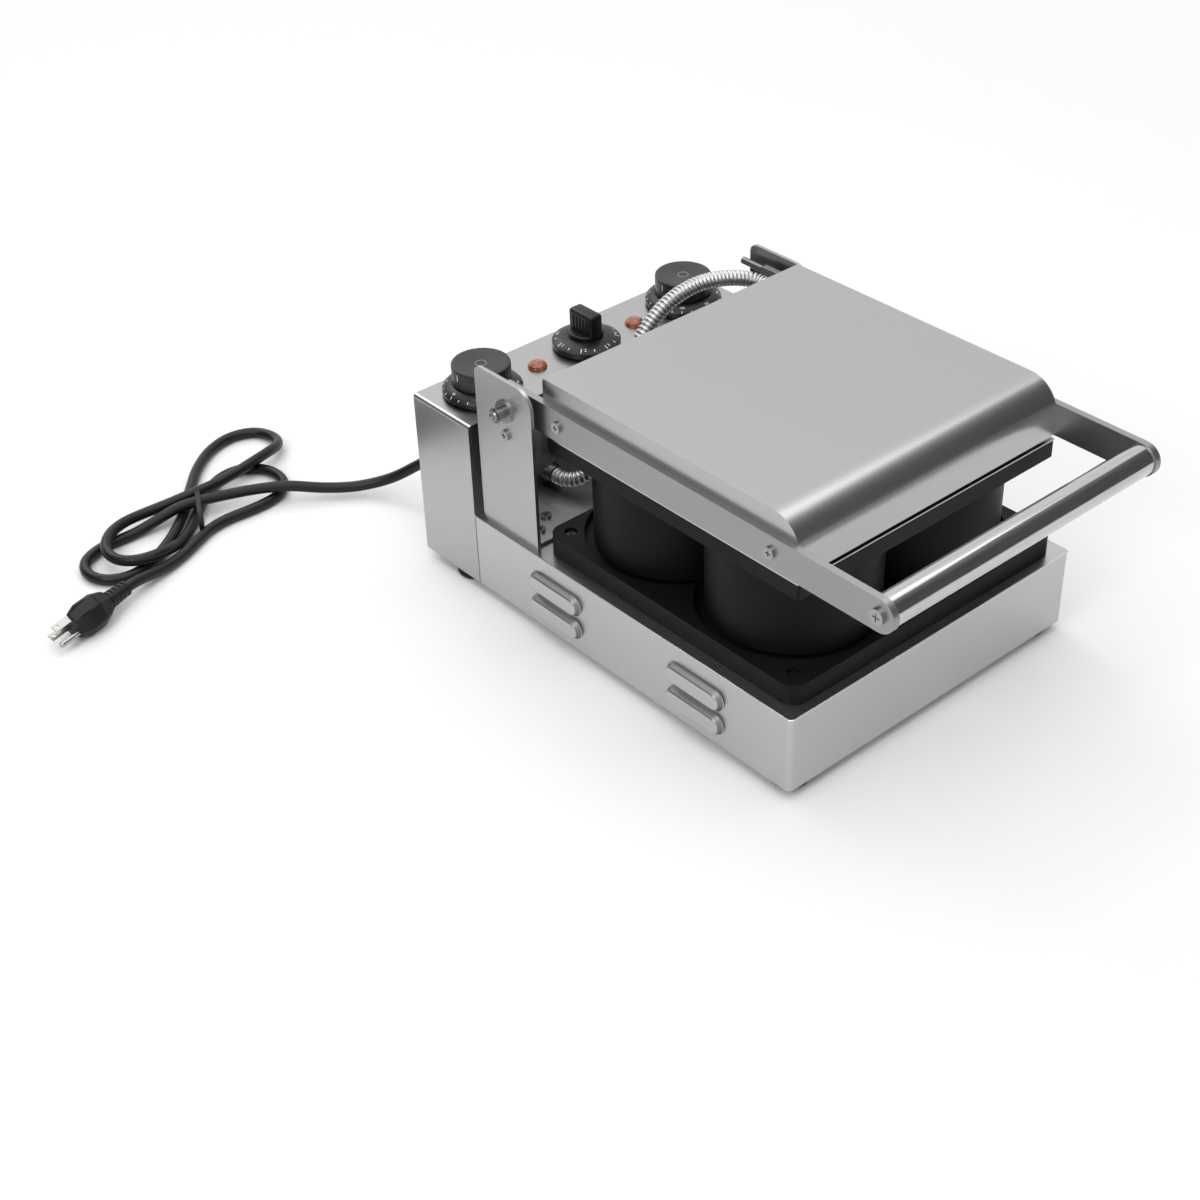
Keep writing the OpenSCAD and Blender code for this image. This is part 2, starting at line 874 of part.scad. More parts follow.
module bracket_screws() {
    color(steel)
        both_sides()
            for (p = foot_screw_places)
                translate([p[0], p[1], deck_z + bracket_t])
                    pan_screw(pan_head, bracket_t);
}

pin_out = 12;
washer_t = 1.5;
pin_tip = bracket_x + pin_out;
pin_head_t = 3;
groove_x = pin_tip - 4.5;

// Hinge pin on the left side: head inside the arm, clip groove outside the bracket
module hinge_pin() {
    r = pin_d / 2;
    color(steel)
        translate([-arm_inner + pin_head_t + 0.3, pivot_y, pivot_z])
            rotate([0, -90, 0])
                rotate_extrude()
                    polygon([[0, 0], [r + 3, 0], [r + 3, pin_head_t], [r, pin_head_t],
                             [r, pin_tip - arm_inner + pin_head_t - 3.2],
                             [r - 1.2, pin_tip - arm_inner + pin_head_t - 3.2],
                             [r - 1.2, pin_tip - arm_inner + pin_head_t - 1.8],
                             [r, pin_tip - arm_inner + pin_head_t - 1.8],
                             [r, pin_tip - arm_inner + pin_head_t - 0.5],
                             [r - 0.8, pin_tip - arm_inner + pin_head_t + 0.3],
                             [0, pin_tip - arm_inner + pin_head_t + 0.3]]);
}

module hinge_pin_left() { hinge_pin(); }
module hinge_pin_right() { mirror([1, 0, 0]) hinge_pin(); }

// Ring on the hinge axis, from x0 outwards
module axis_ring(x0, t, r_out, r_in) {
    translate([-x0, pivot_y, pivot_z])
        rotate([0, -90, 0])
            difference() {
                cylinder(h = t, r = r_out);
                translate([0, 0, -1])
                    cylinder(h = t + 2, r = r_in);
            }
}

// Bushes that keep the arms clear of the brackets
module hinge_spacers() {
    color(steel)
        both_sides()
            axis_ring(arm_outer + 0.3, arm_gap - 0.3, pin_d / 2 + 3.5, pin_d / 2 + pin_play);
}

module hinge_washers() {
    color(steel)
        both_sides()
            axis_ring(bracket_x, washer_t, pin_d / 2 + 5, pin_d / 2 + pin_play);
}

// Retaining rings in the pin grooves
module pin_clips() {
    color([0.6, 0.6, 0.6])
        both_sides()
            axis_ring(pin_tip - 3.4, 1.2, pin_d / 2 + 1.6, pin_d / 2 - 1.15);
}

// Stop bush and its screw inside each bracket, which the rod of the open lid meets
module stop_bushes() {
    inner = bracket_x - bracket_t;
    color(steel)
        both_sides() {
            translate([-inner, pivot_y, stop_z])
                along_x()
                    cylinder(h = inner - arm_inner, r = stop_bush_r);
            translate([-bracket_x, pivot_y, stop_z])
                rotate([0, -90, 0])
                    pan_screw(pan_head, bracket_t);
        }
}

// ---------- lid ----------

cup_inner_r = plunger_r - cast_wall;
edge_r = 2.5;

// Casting of the lid: a plate with four hollow plungers that end in bowl formers
module upper_mould() {
    plate_l = plate_rear - plate_front;
    color(dark_cast)
        difference() {
            union() {
                translate([0, (plate_front + plate_rear) / 2, plate_z])
                    linear_extrude(plate_t)
                        round_rect(plate_w, plate_l, 2);
                at_cups()
                    translate([0, 0, plunger_z]) {
                        rotate_extrude() {
                            square([plunger_r - edge_r, plunger_h + 1]);
                            translate([0, edge_r])
                                square([plunger_r, plunger_h + 1 - edge_r]);
                            translate([plunger_r - edge_r, edge_r])
                                circle(edge_r);
                        }
                        bowl_form(bowl_r, bowl_floor_r, bowl_d + seat_gap);
                    }
            }
            at_cups() {
                translate([0, 0, plunger_z])
                    waffle_grid(bowl_r, bowl_floor_r, bowl_d + seat_gap);
                translate([0, 0, plunger_z + cast_wall])
                    cylinder(h = plunger_h + plate_t, r = cup_inner_r);
            }
        }
}

// Ring elements on the floors of the plungers
module upper_heaters() {
    color([0.45, 0.42, 0.4])
        at_cups()
            translate([0, 0, plunger_z + cast_wall + heater_d / 2])
                rotate(105)
                    ring_element(cup_inner_r - 12);
}

// Sheet between the casting and the cover, its sides turned up inside the cover
module lid_pan() {
    w = cover_w + 3;
    l = cover_rear - cover_front;
    lip = arm_h;
    color(steel) {
        translate([-w / 2, cover_front, plate_top])
            cube([w, l, sheet]);
        both_sides()
            translate([-cover_w / 2 + sheet, cover_front + 30, plate_top])
                difference() {
                    cube([sheet, l - 35, lip]);
                    for (y = arm_screw_y)
                        translate([-1, y - cover_front - 30, arm_mid - plate_top])
                            along_x()
                                cylinder(h = 4, r = 2.6);
                }
    }
}

cover_z = pan_top + cover_lift;

// Side view outline of the cover
module cover_outline(inset) {
    r_front = cover_bend - inset;
    r_rear = 3 - inset;
    y0 = cover_front + inset;
    y1 = cover_rear - inset;
    z1 = cover_top - inset;
    translate([y0 + r_front, cover_z])
        square([y1 - y0 - r_front - r_rear, z1 - cover_z]);
    translate([y0, cover_z])
        square([y1 - y0, z1 - cover_z - r_front]);
    translate([y1 - r_front, cover_z])
        square([r_front, z1 - cover_z - r_rear]);
    intersection() {
        translate([y0 + r_front, z1 - r_front])
            circle(r_front);
        translate([y0, z1 - r_front])
            square([r_front, r_front]);
    }
    translate([y1 - r_rear, z1 - r_rear])
        circle(r_rear);
}

// Bent stainless cover of the lid
module lid_cover() {
    color(steel)
        difference() {
            translate([-cover_w / 2, 0, 0])
                rotate([90, 0, 90])
                    linear_extrude(cover_w)
                        cover_outline(0);
            translate([-cover_w / 2 + sheet, 0, 0])
                rotate([90, 0, 90])
                    linear_extrude(cover_w - 2 * sheet)
                        union() {
                            cover_outline(sheet);
                            translate([cover_front + sheet, cover_z - 1])
                                square([cover_rear - cover_front - 2 * sheet, 3]);
                        }
            for (y = arm_screw_y)
                translate([-cover_w, y, arm_mid])
                    along_x()
                        cylinder(h = 2 * cover_w, r = 2.6);
            translate([entry_x, cover_rear - 3, entry_z])
                along_y()
                    cylinder(h = 5, r = 5.05);
        }
}

tail_r = 1.5;

// Left arm: a flat bar from behind the hinge to the handle
module arm() {
    r = arm_h / 2;
    color(steel)
        difference() {
            translate([-arm_outer, 0, 0])
                rotate([90, 0, 90])
                    linear_extrude(arm_t) {
                        translate([handle_y, arm_z])
                            square([arm_tail - handle_y - tail_r, arm_h]);
                        translate([arm_tail - tail_r, arm_z + tail_r])
                            square([tail_r, arm_h - 2 * tail_r]);
                        for (z = [arm_z + tail_r, arm_z + arm_h - tail_r])
                            translate([arm_tail - tail_r, z])
                                circle(tail_r);
                        translate([handle_y, arm_mid])
                            circle(r);
                    }
            translate([-arm_outer - 1, pivot_y, pivot_z])
                along_x()
                    cylinder(h = arm_t + 2, r = pin_d / 2 + pin_play);
            for (y = concat(arm_screw_y, [handle_y]))
                translate([-arm_outer - 1, y, arm_mid])
                    along_x()
                        cylinder(h = arm_t + 2, r = 2.6);
        }
}

module arm_left() { arm(); }
module arm_right() { mirror([1, 0, 0]) arm(); }

module arm_screws() {
    color(steel)
        both_sides()
            for (y = arm_screw_y)
                translate([-arm_outer, y, arm_mid])
                    rotate([0, -90, 0])
                        pan_screw(pan_head, arm_t + 2 * sheet);
}

// Handle tube between the arms, plugged at its ends for the screws
module handle_tube() {
    plug_l = 12;
    color([0.85, 0.85, 0.86])
        translate([-arm_inner, handle_y, arm_mid])
            along_x()
                difference() {
                    cylinder(h = 2 * arm_inner, r = handle_d / 2);
                    translate([0, 0, plug_l])
                        cylinder(h = 2 * arm_inner - 2 * plug_l, r = handle_d / 2 - 1.5);
                    for (z = [-1, 2 * arm_inner - plug_l - 1])
                        translate([0, 0, z])
                            cylinder(h = plug_l + 2, r = 2.55);
                }
}

module handle_screws() {
    color(steel)
        both_sides()
            translate([-arm_outer, handle_y, arm_mid])
                rotate([0, -90, 0])
                    pan_screw([6, 3, 2.5], arm_t + 10);
}

rod_r = 3;
rod_z = arm_z + arm_h - rod_r - 0.5;

// Rods that stand out behind the arms and stop the open lid
module stop_rods() {
    color([0.55, 0.55, 0.56])
        both_sides()
            translate([-arm_outer + arm_t / 2, arm_tail, rod_z])
                along_y() {
                    cylinder(h = stop_rod_l - 1, r = rod_r);
                    translate([0, 0, stop_rod_l - 1])
                        cylinder(h = 1, r1 = rod_r, r2 = rod_r - 1);
                }
}

// ---------- cables ----------

// Hose gland: hex nut and ferrule along +Y, the hose leaves its far face
module hose_gland_shape() {
    cylinder(h = 6, r = 9.5, $fn = 6);
    cylinder(h = ferrule_l, r = hose_d / 2 + 1);
    translate([0, 0, -3])
        cylinder(h = 4, r = 5);
}

module hose_gland_base() {
    color(steel)
        translate([hose_x, housing_y, hose_z])
            rotate([90, 0, 0])
                hose_gland_shape();
}

module hose_gland_lid() {
    color(steel)
        translate([entry_x, cover_rear, entry_z])
            along_y()
                hose_gland_shape();
}

// Metal hose that carries the lid's wires past the hinge
module metal_hose() {
    color([0.7, 0.7, 0.7])
        translate([0, pivot_y, 0])
            tube(hose_path, hose_d, 3, 12, [-0.6, 0.5, 0.6]);
}

// Nut and tapered strain relief on the rear panel
module cord_gland() {
    color(black)
        translate([gland_x, rear_y, gland_z])
            along_y()
                rotate_extrude()
                    polygon([[0, -8], [8, -8], [8, 0], [12, 0], [12, 5], [9, 7],
                             [cord_d / 2 + 2.6, 14], [cord_d / 2 + 1, 36], [0, 36]]);
}

module cord_lead() {
    color(black)
        translate([0, rear_y, 0])
            tube(lead_path, cord_d, 2, 10, [0.2, 0.3, 1]);
}

module cord_tail() {
    color(black)
        translate([0, rear_y, 0])
            tube(tail_path, cord_d, 1, 10, [0.2, 0.3, 1]);
}

// Outer shape of the tied hank: a wide lobe, a waist at the tie and a long lobe
module cord_hank() {
    color(black)
        translate([0, rear_y, 0])
            linear_extrude(hank_h)
                for (lobe = hank_lobes)
                    hull()
                        for (c = lobe)
                            translate([c[0], c[1]])
                                circle(c[2], $fn = 32);
}

// Strap across the waist of the hank
module cord_tie() {
    color([0.2, 0.2, 0.2])
        translate([tie_place[0], rear_y + tie_place[1], hank_h])
            rotate(tie_angle)
                translate([-tie_l / 2, -2, 0])
                    cube([tie_l, 4, 1]);
}

// Moulded plug lying on its side
module at_plug() {
    end = tail_path[len(tail_path) - 1];
    translate([end[0], rear_y + end[1], end[2]])
        rotate([0, 0, plug_angle])
            rotate([plug_roll, 0, 0])
                children();
}

// Section of the plug body, narrower on the side of the earth pin
module plug_section(at, grow) {
    translate([at, 0, 0])
        rotate([90, 0, 90])
            linear_extrude(1)
                polygon([[-11 - grow, -9 - grow], [-8 - grow, -12 - grow], [2, -12 - grow],
                         [13 + grow, -5 - grow], [13 + grow, 5 + grow], [2, 12 + grow],
                         [-8 - grow, 12 + grow], [-11 - grow, 9 + grow]]);
}

module plug_body() {
    color(black)
        at_plug() {
            along_x()
                cylinder(h = 22, r1 = 6.5, r2 = 8);
            along_x()
                translate([0, 0, 21])
                    cylinder(h = 4, r = 9);
            hull() {
                plug_section(24, -3);
                plug_section(34, 0.6);
                plug_section(50, 0.6);
                plug_section(60, -2);
            }
        }
}

// Two flat blades and a round earth pin
module plug_pins() {
    color([0.85, 0.85, 0.86])
        at_plug() {
            for (z = [-1, 1])
                translate([61, -5 - 3.2, z * 6.35 - 0.75])
                    difference() {
                        cube([17, 6.4, 1.5]);
                        translate([13, 3.2, -1])
                            cylinder(h = 4, r = 1.5);
                    }
            translate([61, 6.9, 0])
                along_x() {
                    cylinder(h = 18, r = 2.4);
                    translate([0, 0, 18])
                        cylinder(h = 2, r1 = 2.4, r2 = 1.2);
                }
        }
}

base_shell();
deck();
bottom_plate();
foot_front_left();
foot_front_right();
foot_rear_left();
foot_rear_right();
foot_screws();
lower_mould();
mould_screws();
lower_heaters();
lower_shield();
lower_probe();
control_housing();
rear_panel();
rear_panel_screws();
thermostat_left();
thermostat_right();
timer();
lamp_left();
lamp_right();
terminal_block();
bezel_left();
bezel_middle();
bezel_right();
knob_left();
knob_middle();
knob_right();
shaft_left();
shaft_middle();
shaft_right();
bracket_left();
bracket_right();
bracket_screws();
hinge_pin_left();
hinge_pin_right();
hinge_spacers();
hinge_washers();
pin_clips();
stop_bushes();
upper_mould();
upper_heaters();
lid_pan();
lid_cover();
arm_left();
arm_right();
arm_screws();
handle_tube();
handle_screws();
stop_rods();
hose_gland_base();
hose_gland_lid();
metal_hose();
cord_gland();
cord_lead();
cord_hank();
cord_tie();
cord_tail();
plug_body();
plug_pins();
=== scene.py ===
import math

import bmesh
import bpy
from mathutils import Euler, Matrix, Vector


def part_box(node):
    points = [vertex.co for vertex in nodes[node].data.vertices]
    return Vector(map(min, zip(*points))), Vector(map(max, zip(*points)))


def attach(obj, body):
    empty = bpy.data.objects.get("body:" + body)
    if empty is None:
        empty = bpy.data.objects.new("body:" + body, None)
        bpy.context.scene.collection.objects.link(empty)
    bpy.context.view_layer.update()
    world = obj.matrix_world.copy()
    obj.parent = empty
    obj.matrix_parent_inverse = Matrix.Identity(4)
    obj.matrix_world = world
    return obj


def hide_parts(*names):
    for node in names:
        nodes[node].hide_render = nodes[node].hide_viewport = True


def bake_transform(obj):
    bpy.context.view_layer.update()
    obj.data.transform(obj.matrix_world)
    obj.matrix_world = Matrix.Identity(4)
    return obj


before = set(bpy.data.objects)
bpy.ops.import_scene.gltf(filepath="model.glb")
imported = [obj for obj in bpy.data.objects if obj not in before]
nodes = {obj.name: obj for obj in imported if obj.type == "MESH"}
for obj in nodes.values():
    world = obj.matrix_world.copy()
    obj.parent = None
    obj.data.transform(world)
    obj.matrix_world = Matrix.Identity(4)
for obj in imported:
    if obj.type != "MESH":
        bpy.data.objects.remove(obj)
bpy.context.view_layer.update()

mm = 0.001


def corners(node):
    return [Vector(c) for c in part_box(node)]


# ---------------------------------------------------------------- camera
print("stage: camera and light")

camera = {
    "place": (-0.93168, -0.91496, 0.96072),
    "turn": (53.918, 1.668, -40.961),  # degrees
    "lens": 61.0,
    "sensor": 36.0,
}


def addCamera(c):
    data = bpy.data.cameras.new("viewCamera")
    data.lens = c["lens"]
    data.sensor_width = c["sensor"]
    data.clip_end = 20
    cam = bpy.data.objects.new("viewCamera", data)
    cam.location = c["place"]
    cam.rotation_euler = Euler([math.radians(a) for a in c["turn"]])
    bpy.context.scene.collection.objects.link(cam)
    bpy.context.scene.camera = cam


addCamera(camera)
bpy.context.scene.view_settings.view_transform = "Standard"

# ---------------------------------------------------------------- node helpers


def newMaterial(name):
    mat = bpy.data.materials.new(name)
    mat.use_nodes = True
    tree = mat.node_tree
    return mat, tree, tree.nodes["Principled BSDF"]


def link(tree, a, outSocket, b, inSocket):
    tree.links.new(a.outputs[outSocket], b.inputs[inSocket])


def objectMap(tree, scale):
    coord = tree.nodes.new("ShaderNodeTexCoord")
    mapping = tree.nodes.new("ShaderNodeMapping")
    mapping.inputs["Scale"].default_value = scale
    link(tree, coord, "Object", mapping, "Vector")
    return mapping


def noise(tree, mapping, scale, detail=3.0, rough=0.5):
    n = tree.nodes.new("ShaderNodeTexNoise")
    n.inputs["Scale"].default_value = scale
    n.inputs["Detail"].default_value = detail
    n.inputs["Roughness"].default_value = rough
    link(tree, mapping, "Vector", n, "Vector")
    return n


def spread(tree, source, socket, low, high, fromLow=0.3, fromHigh=0.7):
    r = tree.nodes.new("ShaderNodeMapRange")
    r.inputs["From Min"].default_value = fromLow
    r.inputs["From Max"].default_value = fromHigh
    r.inputs["To Min"].default_value = low
    r.inputs["To Max"].default_value = high
    link(tree, source, socket, r, "Value")
    return r


def tint(tree, factor, dark, light):
    m = tree.nodes.new("ShaderNodeMix")
    m.data_type = "RGBA"
    m.inputs["A"].default_value = (*dark, 1)
    m.inputs["B"].default_value = (*light, 1)
    tree.links.new(factor, m.inputs["Factor"])
    return [o for o in m.outputs if o.type == "RGBA"][0]


def bump(tree, bsdf, height, strength, distance):
    b = tree.nodes.new("ShaderNodeBump")
    b.inputs["Strength"].default_value = strength
    b.inputs["Distance"].default_value = distance
    tree.links.new(height, b.inputs["Height"])
    link(tree, b, "Normal", bsdf, "Normal")


# ---------------------------------------------------------------- materials

steelLook = {
    "dark": (0.495, 0.495, 0.50),
    "light": (0.505, 0.505, 0.51),
    "roughLow": 0.275,
    "roughHigh": 0.285,
    "grain": 1500.0,  # brush lines per metre, about
}


# a brightness below 1 gives a darker copy of the same steel: painted shade for parts that stand in
# darker light
def brushedSteel(name, along, look=steelLook, brightness=1.0):
    mat, tree, bsdf = newMaterial(name)
    stretch = [1.0, 1.0, 1.0]
    stretch["XYZ".index(along)] = 0.02
    fine = noise(tree, objectMap(tree, stretch), look["grain"], 2.0, 0.6)
    cloud = noise(tree, objectMap(tree, (1, 1, 1)), 9.0, 3.0)
    dark = [c * brightness for c in look["dark"]]
    light = [c * brightness for c in look["light"]]
    mix = spread(tree, fine, "Fac", 0, 1)
    tree.links.new(tint(tree, mix.outputs["Result"], dark, light), bsdf.inputs["Base Color"])
    rough = spread(tree, cloud, "Fac", look["roughLow"], look["roughHigh"])
    link(tree, rough, "Result", bsdf, "Roughness")
    bsdf.inputs["Metallic"].default_value = 1.0
    return mat


def polishedMetal(name, color, rough, along=None, wear=0.08):
    mat, tree, bsdf = newMaterial(name)
    stretch = [1.0, 1.0, 1.0]
    if along:
        stretch["XYZ".index(along)] = 0.03
    n = noise(tree, objectMap(tree, stretch), 700.0, 3.0)
    mix = spread(tree, n, "Fac", 0, 1)
    dark = [c * (1 - wear) for c in color]
    tree.links.new(tint(tree, mix.outputs["Result"], dark, color), bsdf.inputs["Base Color"])
    r = spread(tree, n, "Fac", rough * 0.8, rough * 1.25)
    link(tree, r, "Result", bsdf, "Roughness")
    bump(tree, bsdf, n.outputs["Fac"], 0.05, 0.0001)
    bsdf.inputs["Metallic"].default_value = 1.0
    return mat


def plastic(name, color, rough, grain=900.0, depth=0.08, mottle=0.15, shine=0.3):
    mat, tree, bsdf = newMaterial(name)
    n = noise(tree, objectMap(tree, (1, 1, 1)), grain, 3.0)
    cloud = noise(tree, objectMap(tree, (1, 1, 1)), 22.0, 3.0)
    mix = spread(tree, cloud, "Fac", 0, 1)
    dark = [c * (1 - mottle) for c in color]
    tree.links.new(tint(tree, mix.outputs["Result"], dark, color), bsdf.inputs["Base Color"])
    r = spread(tree, n, "Fac", rough - 0.05, rough + 0.05)
    link(tree, r, "Result", bsdf, "Roughness")
    bump(tree, bsdf, n.outputs["Fac"], depth, 0.0002)
    bsdf.inputs["Specular IOR Level"].default_value = shine
    return mat


def castCoating(name):
    mat, tree, bsdf = newMaterial(name)
    pebble = noise(tree, objectMap(tree, (1, 1, 1)), 1400.0, 2.0)
    cloud = noise(tree, objectMap(tree, (1, 1, 1)), 14.0, 4.0)
    mix = spread(tree, cloud, "Fac", 0, 1)
    color = tint(tree, mix.outputs["Result"], (0.0035, 0.0035, 0.004), (0.006, 0.006, 0.0066))
    tree.links.new(color, bsdf.inputs["Base Color"])
    r = spread(tree, cloud, "Fac", 0.42, 0.55)
    link(tree, r, "Result", bsdf, "Roughness")
    bump(tree, bsdf, pebble.outputs["Fac"], 0.12, 0.0003)
    bsdf.inputs["Specular IOR Level"].default_value = 0.12
    return mat


def lensGlow(name):
    mat, tree, bsdf = newMaterial(name)
    cells = tree.nodes.new("ShaderNodeTexVoronoi")
    cells.inputs["Scale"].default_value = 420.0
    link(tree, objectMap(tree, (1, 1, 1)), "Vector", cells, "Vector")
    mix = spread(tree, cells, "Distance", 0, 1, 0.1, 0.6)
    color = tint(tree, mix.outputs["Result"], (0.40, 0.115, 0.03), (0.20, 0.04, 0.008))
    tree.links.new(color, bsdf.inputs["Base Color"])
    tree.links.new(color, bsdf.inputs["Emission Color"])
    bsdf.inputs["Emission Strength"].default_value = 0.05
    r = spread(tree, cells, "Distance", 0.12, 0.25)
    link(tree, r, "Result", bsdf, "Roughness")
    bump(tree, bsdf, cells.outputs["Distance"], 0.35, 0.0008)
    bsdf.inputs["Coat Weight"].default_value = 0.5
    return mat


sheetAlongY = brushedSteel("sheetAlongY", "Y")
# painted shade: lid cover, lower shield, housing and rear panel get a darker copy of the sheet steel
shadedSheetAlongX = brushedSteel("shadedSheetAlongX", "X", steelLook, 0.88)
shadedSheetAlongZ = brushedSteel("shadedSheetAlongZ", "Z", steelLook, 0.88)
# painted shade: darker, rougher copy of the sheet steel for the louver shoulders
louverShadeSteel = brushedSteel("louverShadeSteel", "Y", dict(steelLook, roughLow=0.38, roughHigh=0.44), 0.42)
# painted shade: the arms get a darker copy of the sheet steel
armShadeSteel = brushedSteel("armShadeSteel", "Y", dict(steelLook, roughLow=0.36, roughHigh=0.42), 0.64)
# painted shade: the brackets get a darker copy of the sheet steel
bracketShadeSteel = brushedSteel("bracketShadeSteel", "Z", dict(steelLook, roughLow=0.30, roughHigh=0.36), 0.86)
boltSteel = polishedMetal("boltSteel", (0.36, 0.36, 0.355), 0.18)
pinSteel = polishedMetal("pinSteel", (0.24, 0.24, 0.24), 0.24)
screwBlack = polishedMetal("screwBlack", (0.10, 0.10, 0.10), 0.35)
handleSteel = polishedMetal("handleSteel", (0.58, 0.58, 0.58), 0.13, "X", 0.16)
# painted highlight: steel brighter than the sheet, for the bright line along the deck edge
hemHighlightSteel = polishedMetal("hemHighlightSteel", (0.80, 0.80, 0.80), 0.15)
hoseSteel = polishedMetal("hoseSteel", (0.48, 0.48, 0.475), 0.33)
darkSteel = polishedMetal("darkSteel", (0.20, 0.20, 0.205), 0.34, "Y", 0.15)
bladeNickel = polishedMetal("bladeNickel", (0.40, 0.395, 0.38), 0.25)
elementSteel = polishedMetal("elementSteel", (0.28, 0.25, 0.22), 0.45, None, 0.3)
probeCopper = polishedMetal("probeCopper", (0.62, 0.30, 0.16), 0.3, None, 0.2)
castBlack = castCoating("castBlack")
footRubber = plastic("footRubber", (0.008, 0.008, 0.0085), 0.6, 700.0, 0.15, 0.15, 0.2)
bezelBlack = plastic("bezelBlack", (0.006, 0.006, 0.0065), 0.34, 1600.0, 0.05)
knobCharcoal = plastic("knobCharcoal", (0.016, 0.016, 0.017), 0.36, 1500.0, 0.06, 0.15, 0.4)
cordVinyl = plastic("cordVinyl", (0.005, 0.005, 0.0053), 0.38, 1100.0, 0.10)
plugVinyl = plastic("plugVinyl", (0.005, 0.005, 0.0053), 0.40, 1300.0, 0.12)
tieBlack = plastic("tieBlack", (0.004, 0.004, 0.004), 0.5)
glandNylon = plastic("glandNylon", (0.008, 0.008, 0.0085), 0.4)
switchCream = plastic("switchCream", (0.62, 0.60, 0.54), 0.45, 500.0, 0.05, 0.06)
ringGrey = plastic("ringGrey", (0.34, 0.34, 0.345), 0.35)
scaleWhite = plastic("scaleWhite", (0.80, 0.80, 0.78), 0.5, 500.0, 0.02, 0.05)
lampAmber = lensGlow("lampAmber")

looks = {
    sheetAlongY: ["base_shell", "deck", "lid_pan", "bottom_plate"],
    shadedSheetAlongX: ["lid_cover", "lower_shield"],
    shadedSheetAlongZ: ["control_housing", "rear_panel"],
    bracketShadeSteel: ["bracket_left", "bracket_right"],
    armShadeSteel: ["arm_left", "arm_right"],
    boltSteel: [
        "foot_screws", "rear_panel_screws", "bracket_screws", "hinge_spacers", "hinge_washers",
        "stop_bushes", "arm_screws", "handle_screws", "shaft_left", "shaft_middle",
        "shaft_right", "hose_gland_base", "hose_gland_lid",
    ],
    pinSteel: ["hinge_pin_left", "hinge_pin_right", "pin_clips"],
    screwBlack: ["mould_screws"],
    handleSteel: ["handle_tube"],
    darkSteel: ["stop_rods"],
    castBlack: ["lower_mould", "upper_mould"],
    elementSteel: ["lower_heaters", "upper_heaters"],
    probeCopper: ["lower_probe"],
    footRubber: ["foot_front_left", "foot_front_right", "foot_rear_left", "foot_rear_right"],
    bezelBlack: ["bezel_left", "bezel_middle", "bezel_right"],
    knobCharcoal: ["knob_left", "knob_middle", "knob_right"],
    lampAmber: ["lamp_left", "lamp_right"],
    switchCream: ["thermostat_left", "thermostat_right", "timer", "terminal_block"],
    glandNylon: ["cord_gland"],
    bladeNickel: ["plug_pins"],
    hoseSteel: ["metal_hose"],
    cordVinyl: ["cord_lead", "cord_hank", "cord_tail"],
    tieBlack: ["cord_tie"],
    plugVinyl: ["plug_body"],
}


def dress(obj, mat):
    if len(obj.data.materials) == 0:
        obj.data.materials.append(mat)
    for slot in obj.material_slots:
        slot.link = "OBJECT"
        slot.material = mat


for mat, names in looks.items():
    for name in names:
        dress(nodes[name], mat)
plain = [n for n in nodes if not any(n in names for names in looks.values())]
print("stage: materials, undressed nodes", plain)

# ---------------------------------------------------------------- mesh helpers


def finished(name, bm, mat, body, smooth):
    bmesh.ops.recalc_face_normals(bm, faces=bm.faces[:])
    mesh = bpy.data.meshes.new(name)
    bm.to_mesh(mesh)
    bm.free()
    obj = bpy.data.objects.new(name, mesh)
    bpy.context.scene.collection.objects.link(obj)
    mesh.materials.append(mat)
    if smooth:
        mesh.shade_smooth()
    if body:
        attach(obj, body)
    return obj


def sharpen(obj, degrees=35):
    obj.data.set_sharp_from_angle(angle=math.radians(degrees))


def curvePoints(points, steps):
    # smooth line through the given points
    ends = [2 * points[0] - points[1]] + points + [2 * points[-1] - points[-2]]
    line = []
    for i in range(1, len(ends) - 2):
        p, q, r, s = ends[i - 1:i + 3]
        t0, knots = 0.0, [0.0]
        for a, b in ((p, q), (q, r), (r, s)):
            t0 += math.sqrt((b - a).length)
            knots.append(t0)
        for k in range(steps):
            t = knots[1] + (knots[2] - knots[1]) * k / steps
            a1 = p.lerp(q, (t - knots[0]) / (knots[1] - knots[0]))
            a2 = q.lerp(r, (t - knots[1]) / (knots[2] - knots[1]))
            a3 = r.lerp(s, (t - knots[2]) / (knots[3] - knots[2]))
            b1 = a1.lerp(a2, (t - knots[0]) / (knots[2] - knots[0]))
            b2 = a2.lerp(a3, (t - knots[1]) / (knots[3] - knots[1]))
            line.append(b1.lerp(b2, (t - knots[1]) / (knots[2] - knots[1])))
    line.append(ends[-2])
    return line


def evenly(line, step):
    # the same line with points a fixed distance apart
    out, rest = [line[0]], 0.0
    for a, b in zip(line, line[1:]):
        gap = (b - a).length
        while rest + gap >= step:
            a = a.lerp(b, (step - rest) / gap)
            out.append(a.copy())
            gap = (b - a).length
            rest = 0.0
        rest += gap
    if (out[-1] - line[-1]).length > step * 0.3:
        out.append(line[-1].copy())
    else:
        out[-1] = line[-1].copy()
    return out


def relaxed(line, rounds):
    for _ in range(rounds):
        inner = [(a + 2 * b + c) / 4 for a, b, c in zip(line, line[1:], line[2:])]
        line = [line[0]] + inner + [line[-1]]
    return line


def lengthOf(line):
    return sum((b - a).length for a, b in zip(line, line[1:]))


def frameAlong(line):
    # one matrix per point, its Z along the line, turned as little as possible
    frames, side = [], None
    for i, p in enumerate(line):
        t = (line[min(i + 1, len(line) - 1)] - line[max(i - 1, 0)]).normalized()
        if side is None:
            side = t.orthogonal().normalized()
        side = (side - t * side.dot(t)).normalized()
        up = t.cross(side)
        m = Matrix((side, up, t)).transposed().to_4x4()
        frames.append(Matrix.Translation(p) @ m)
    return frames


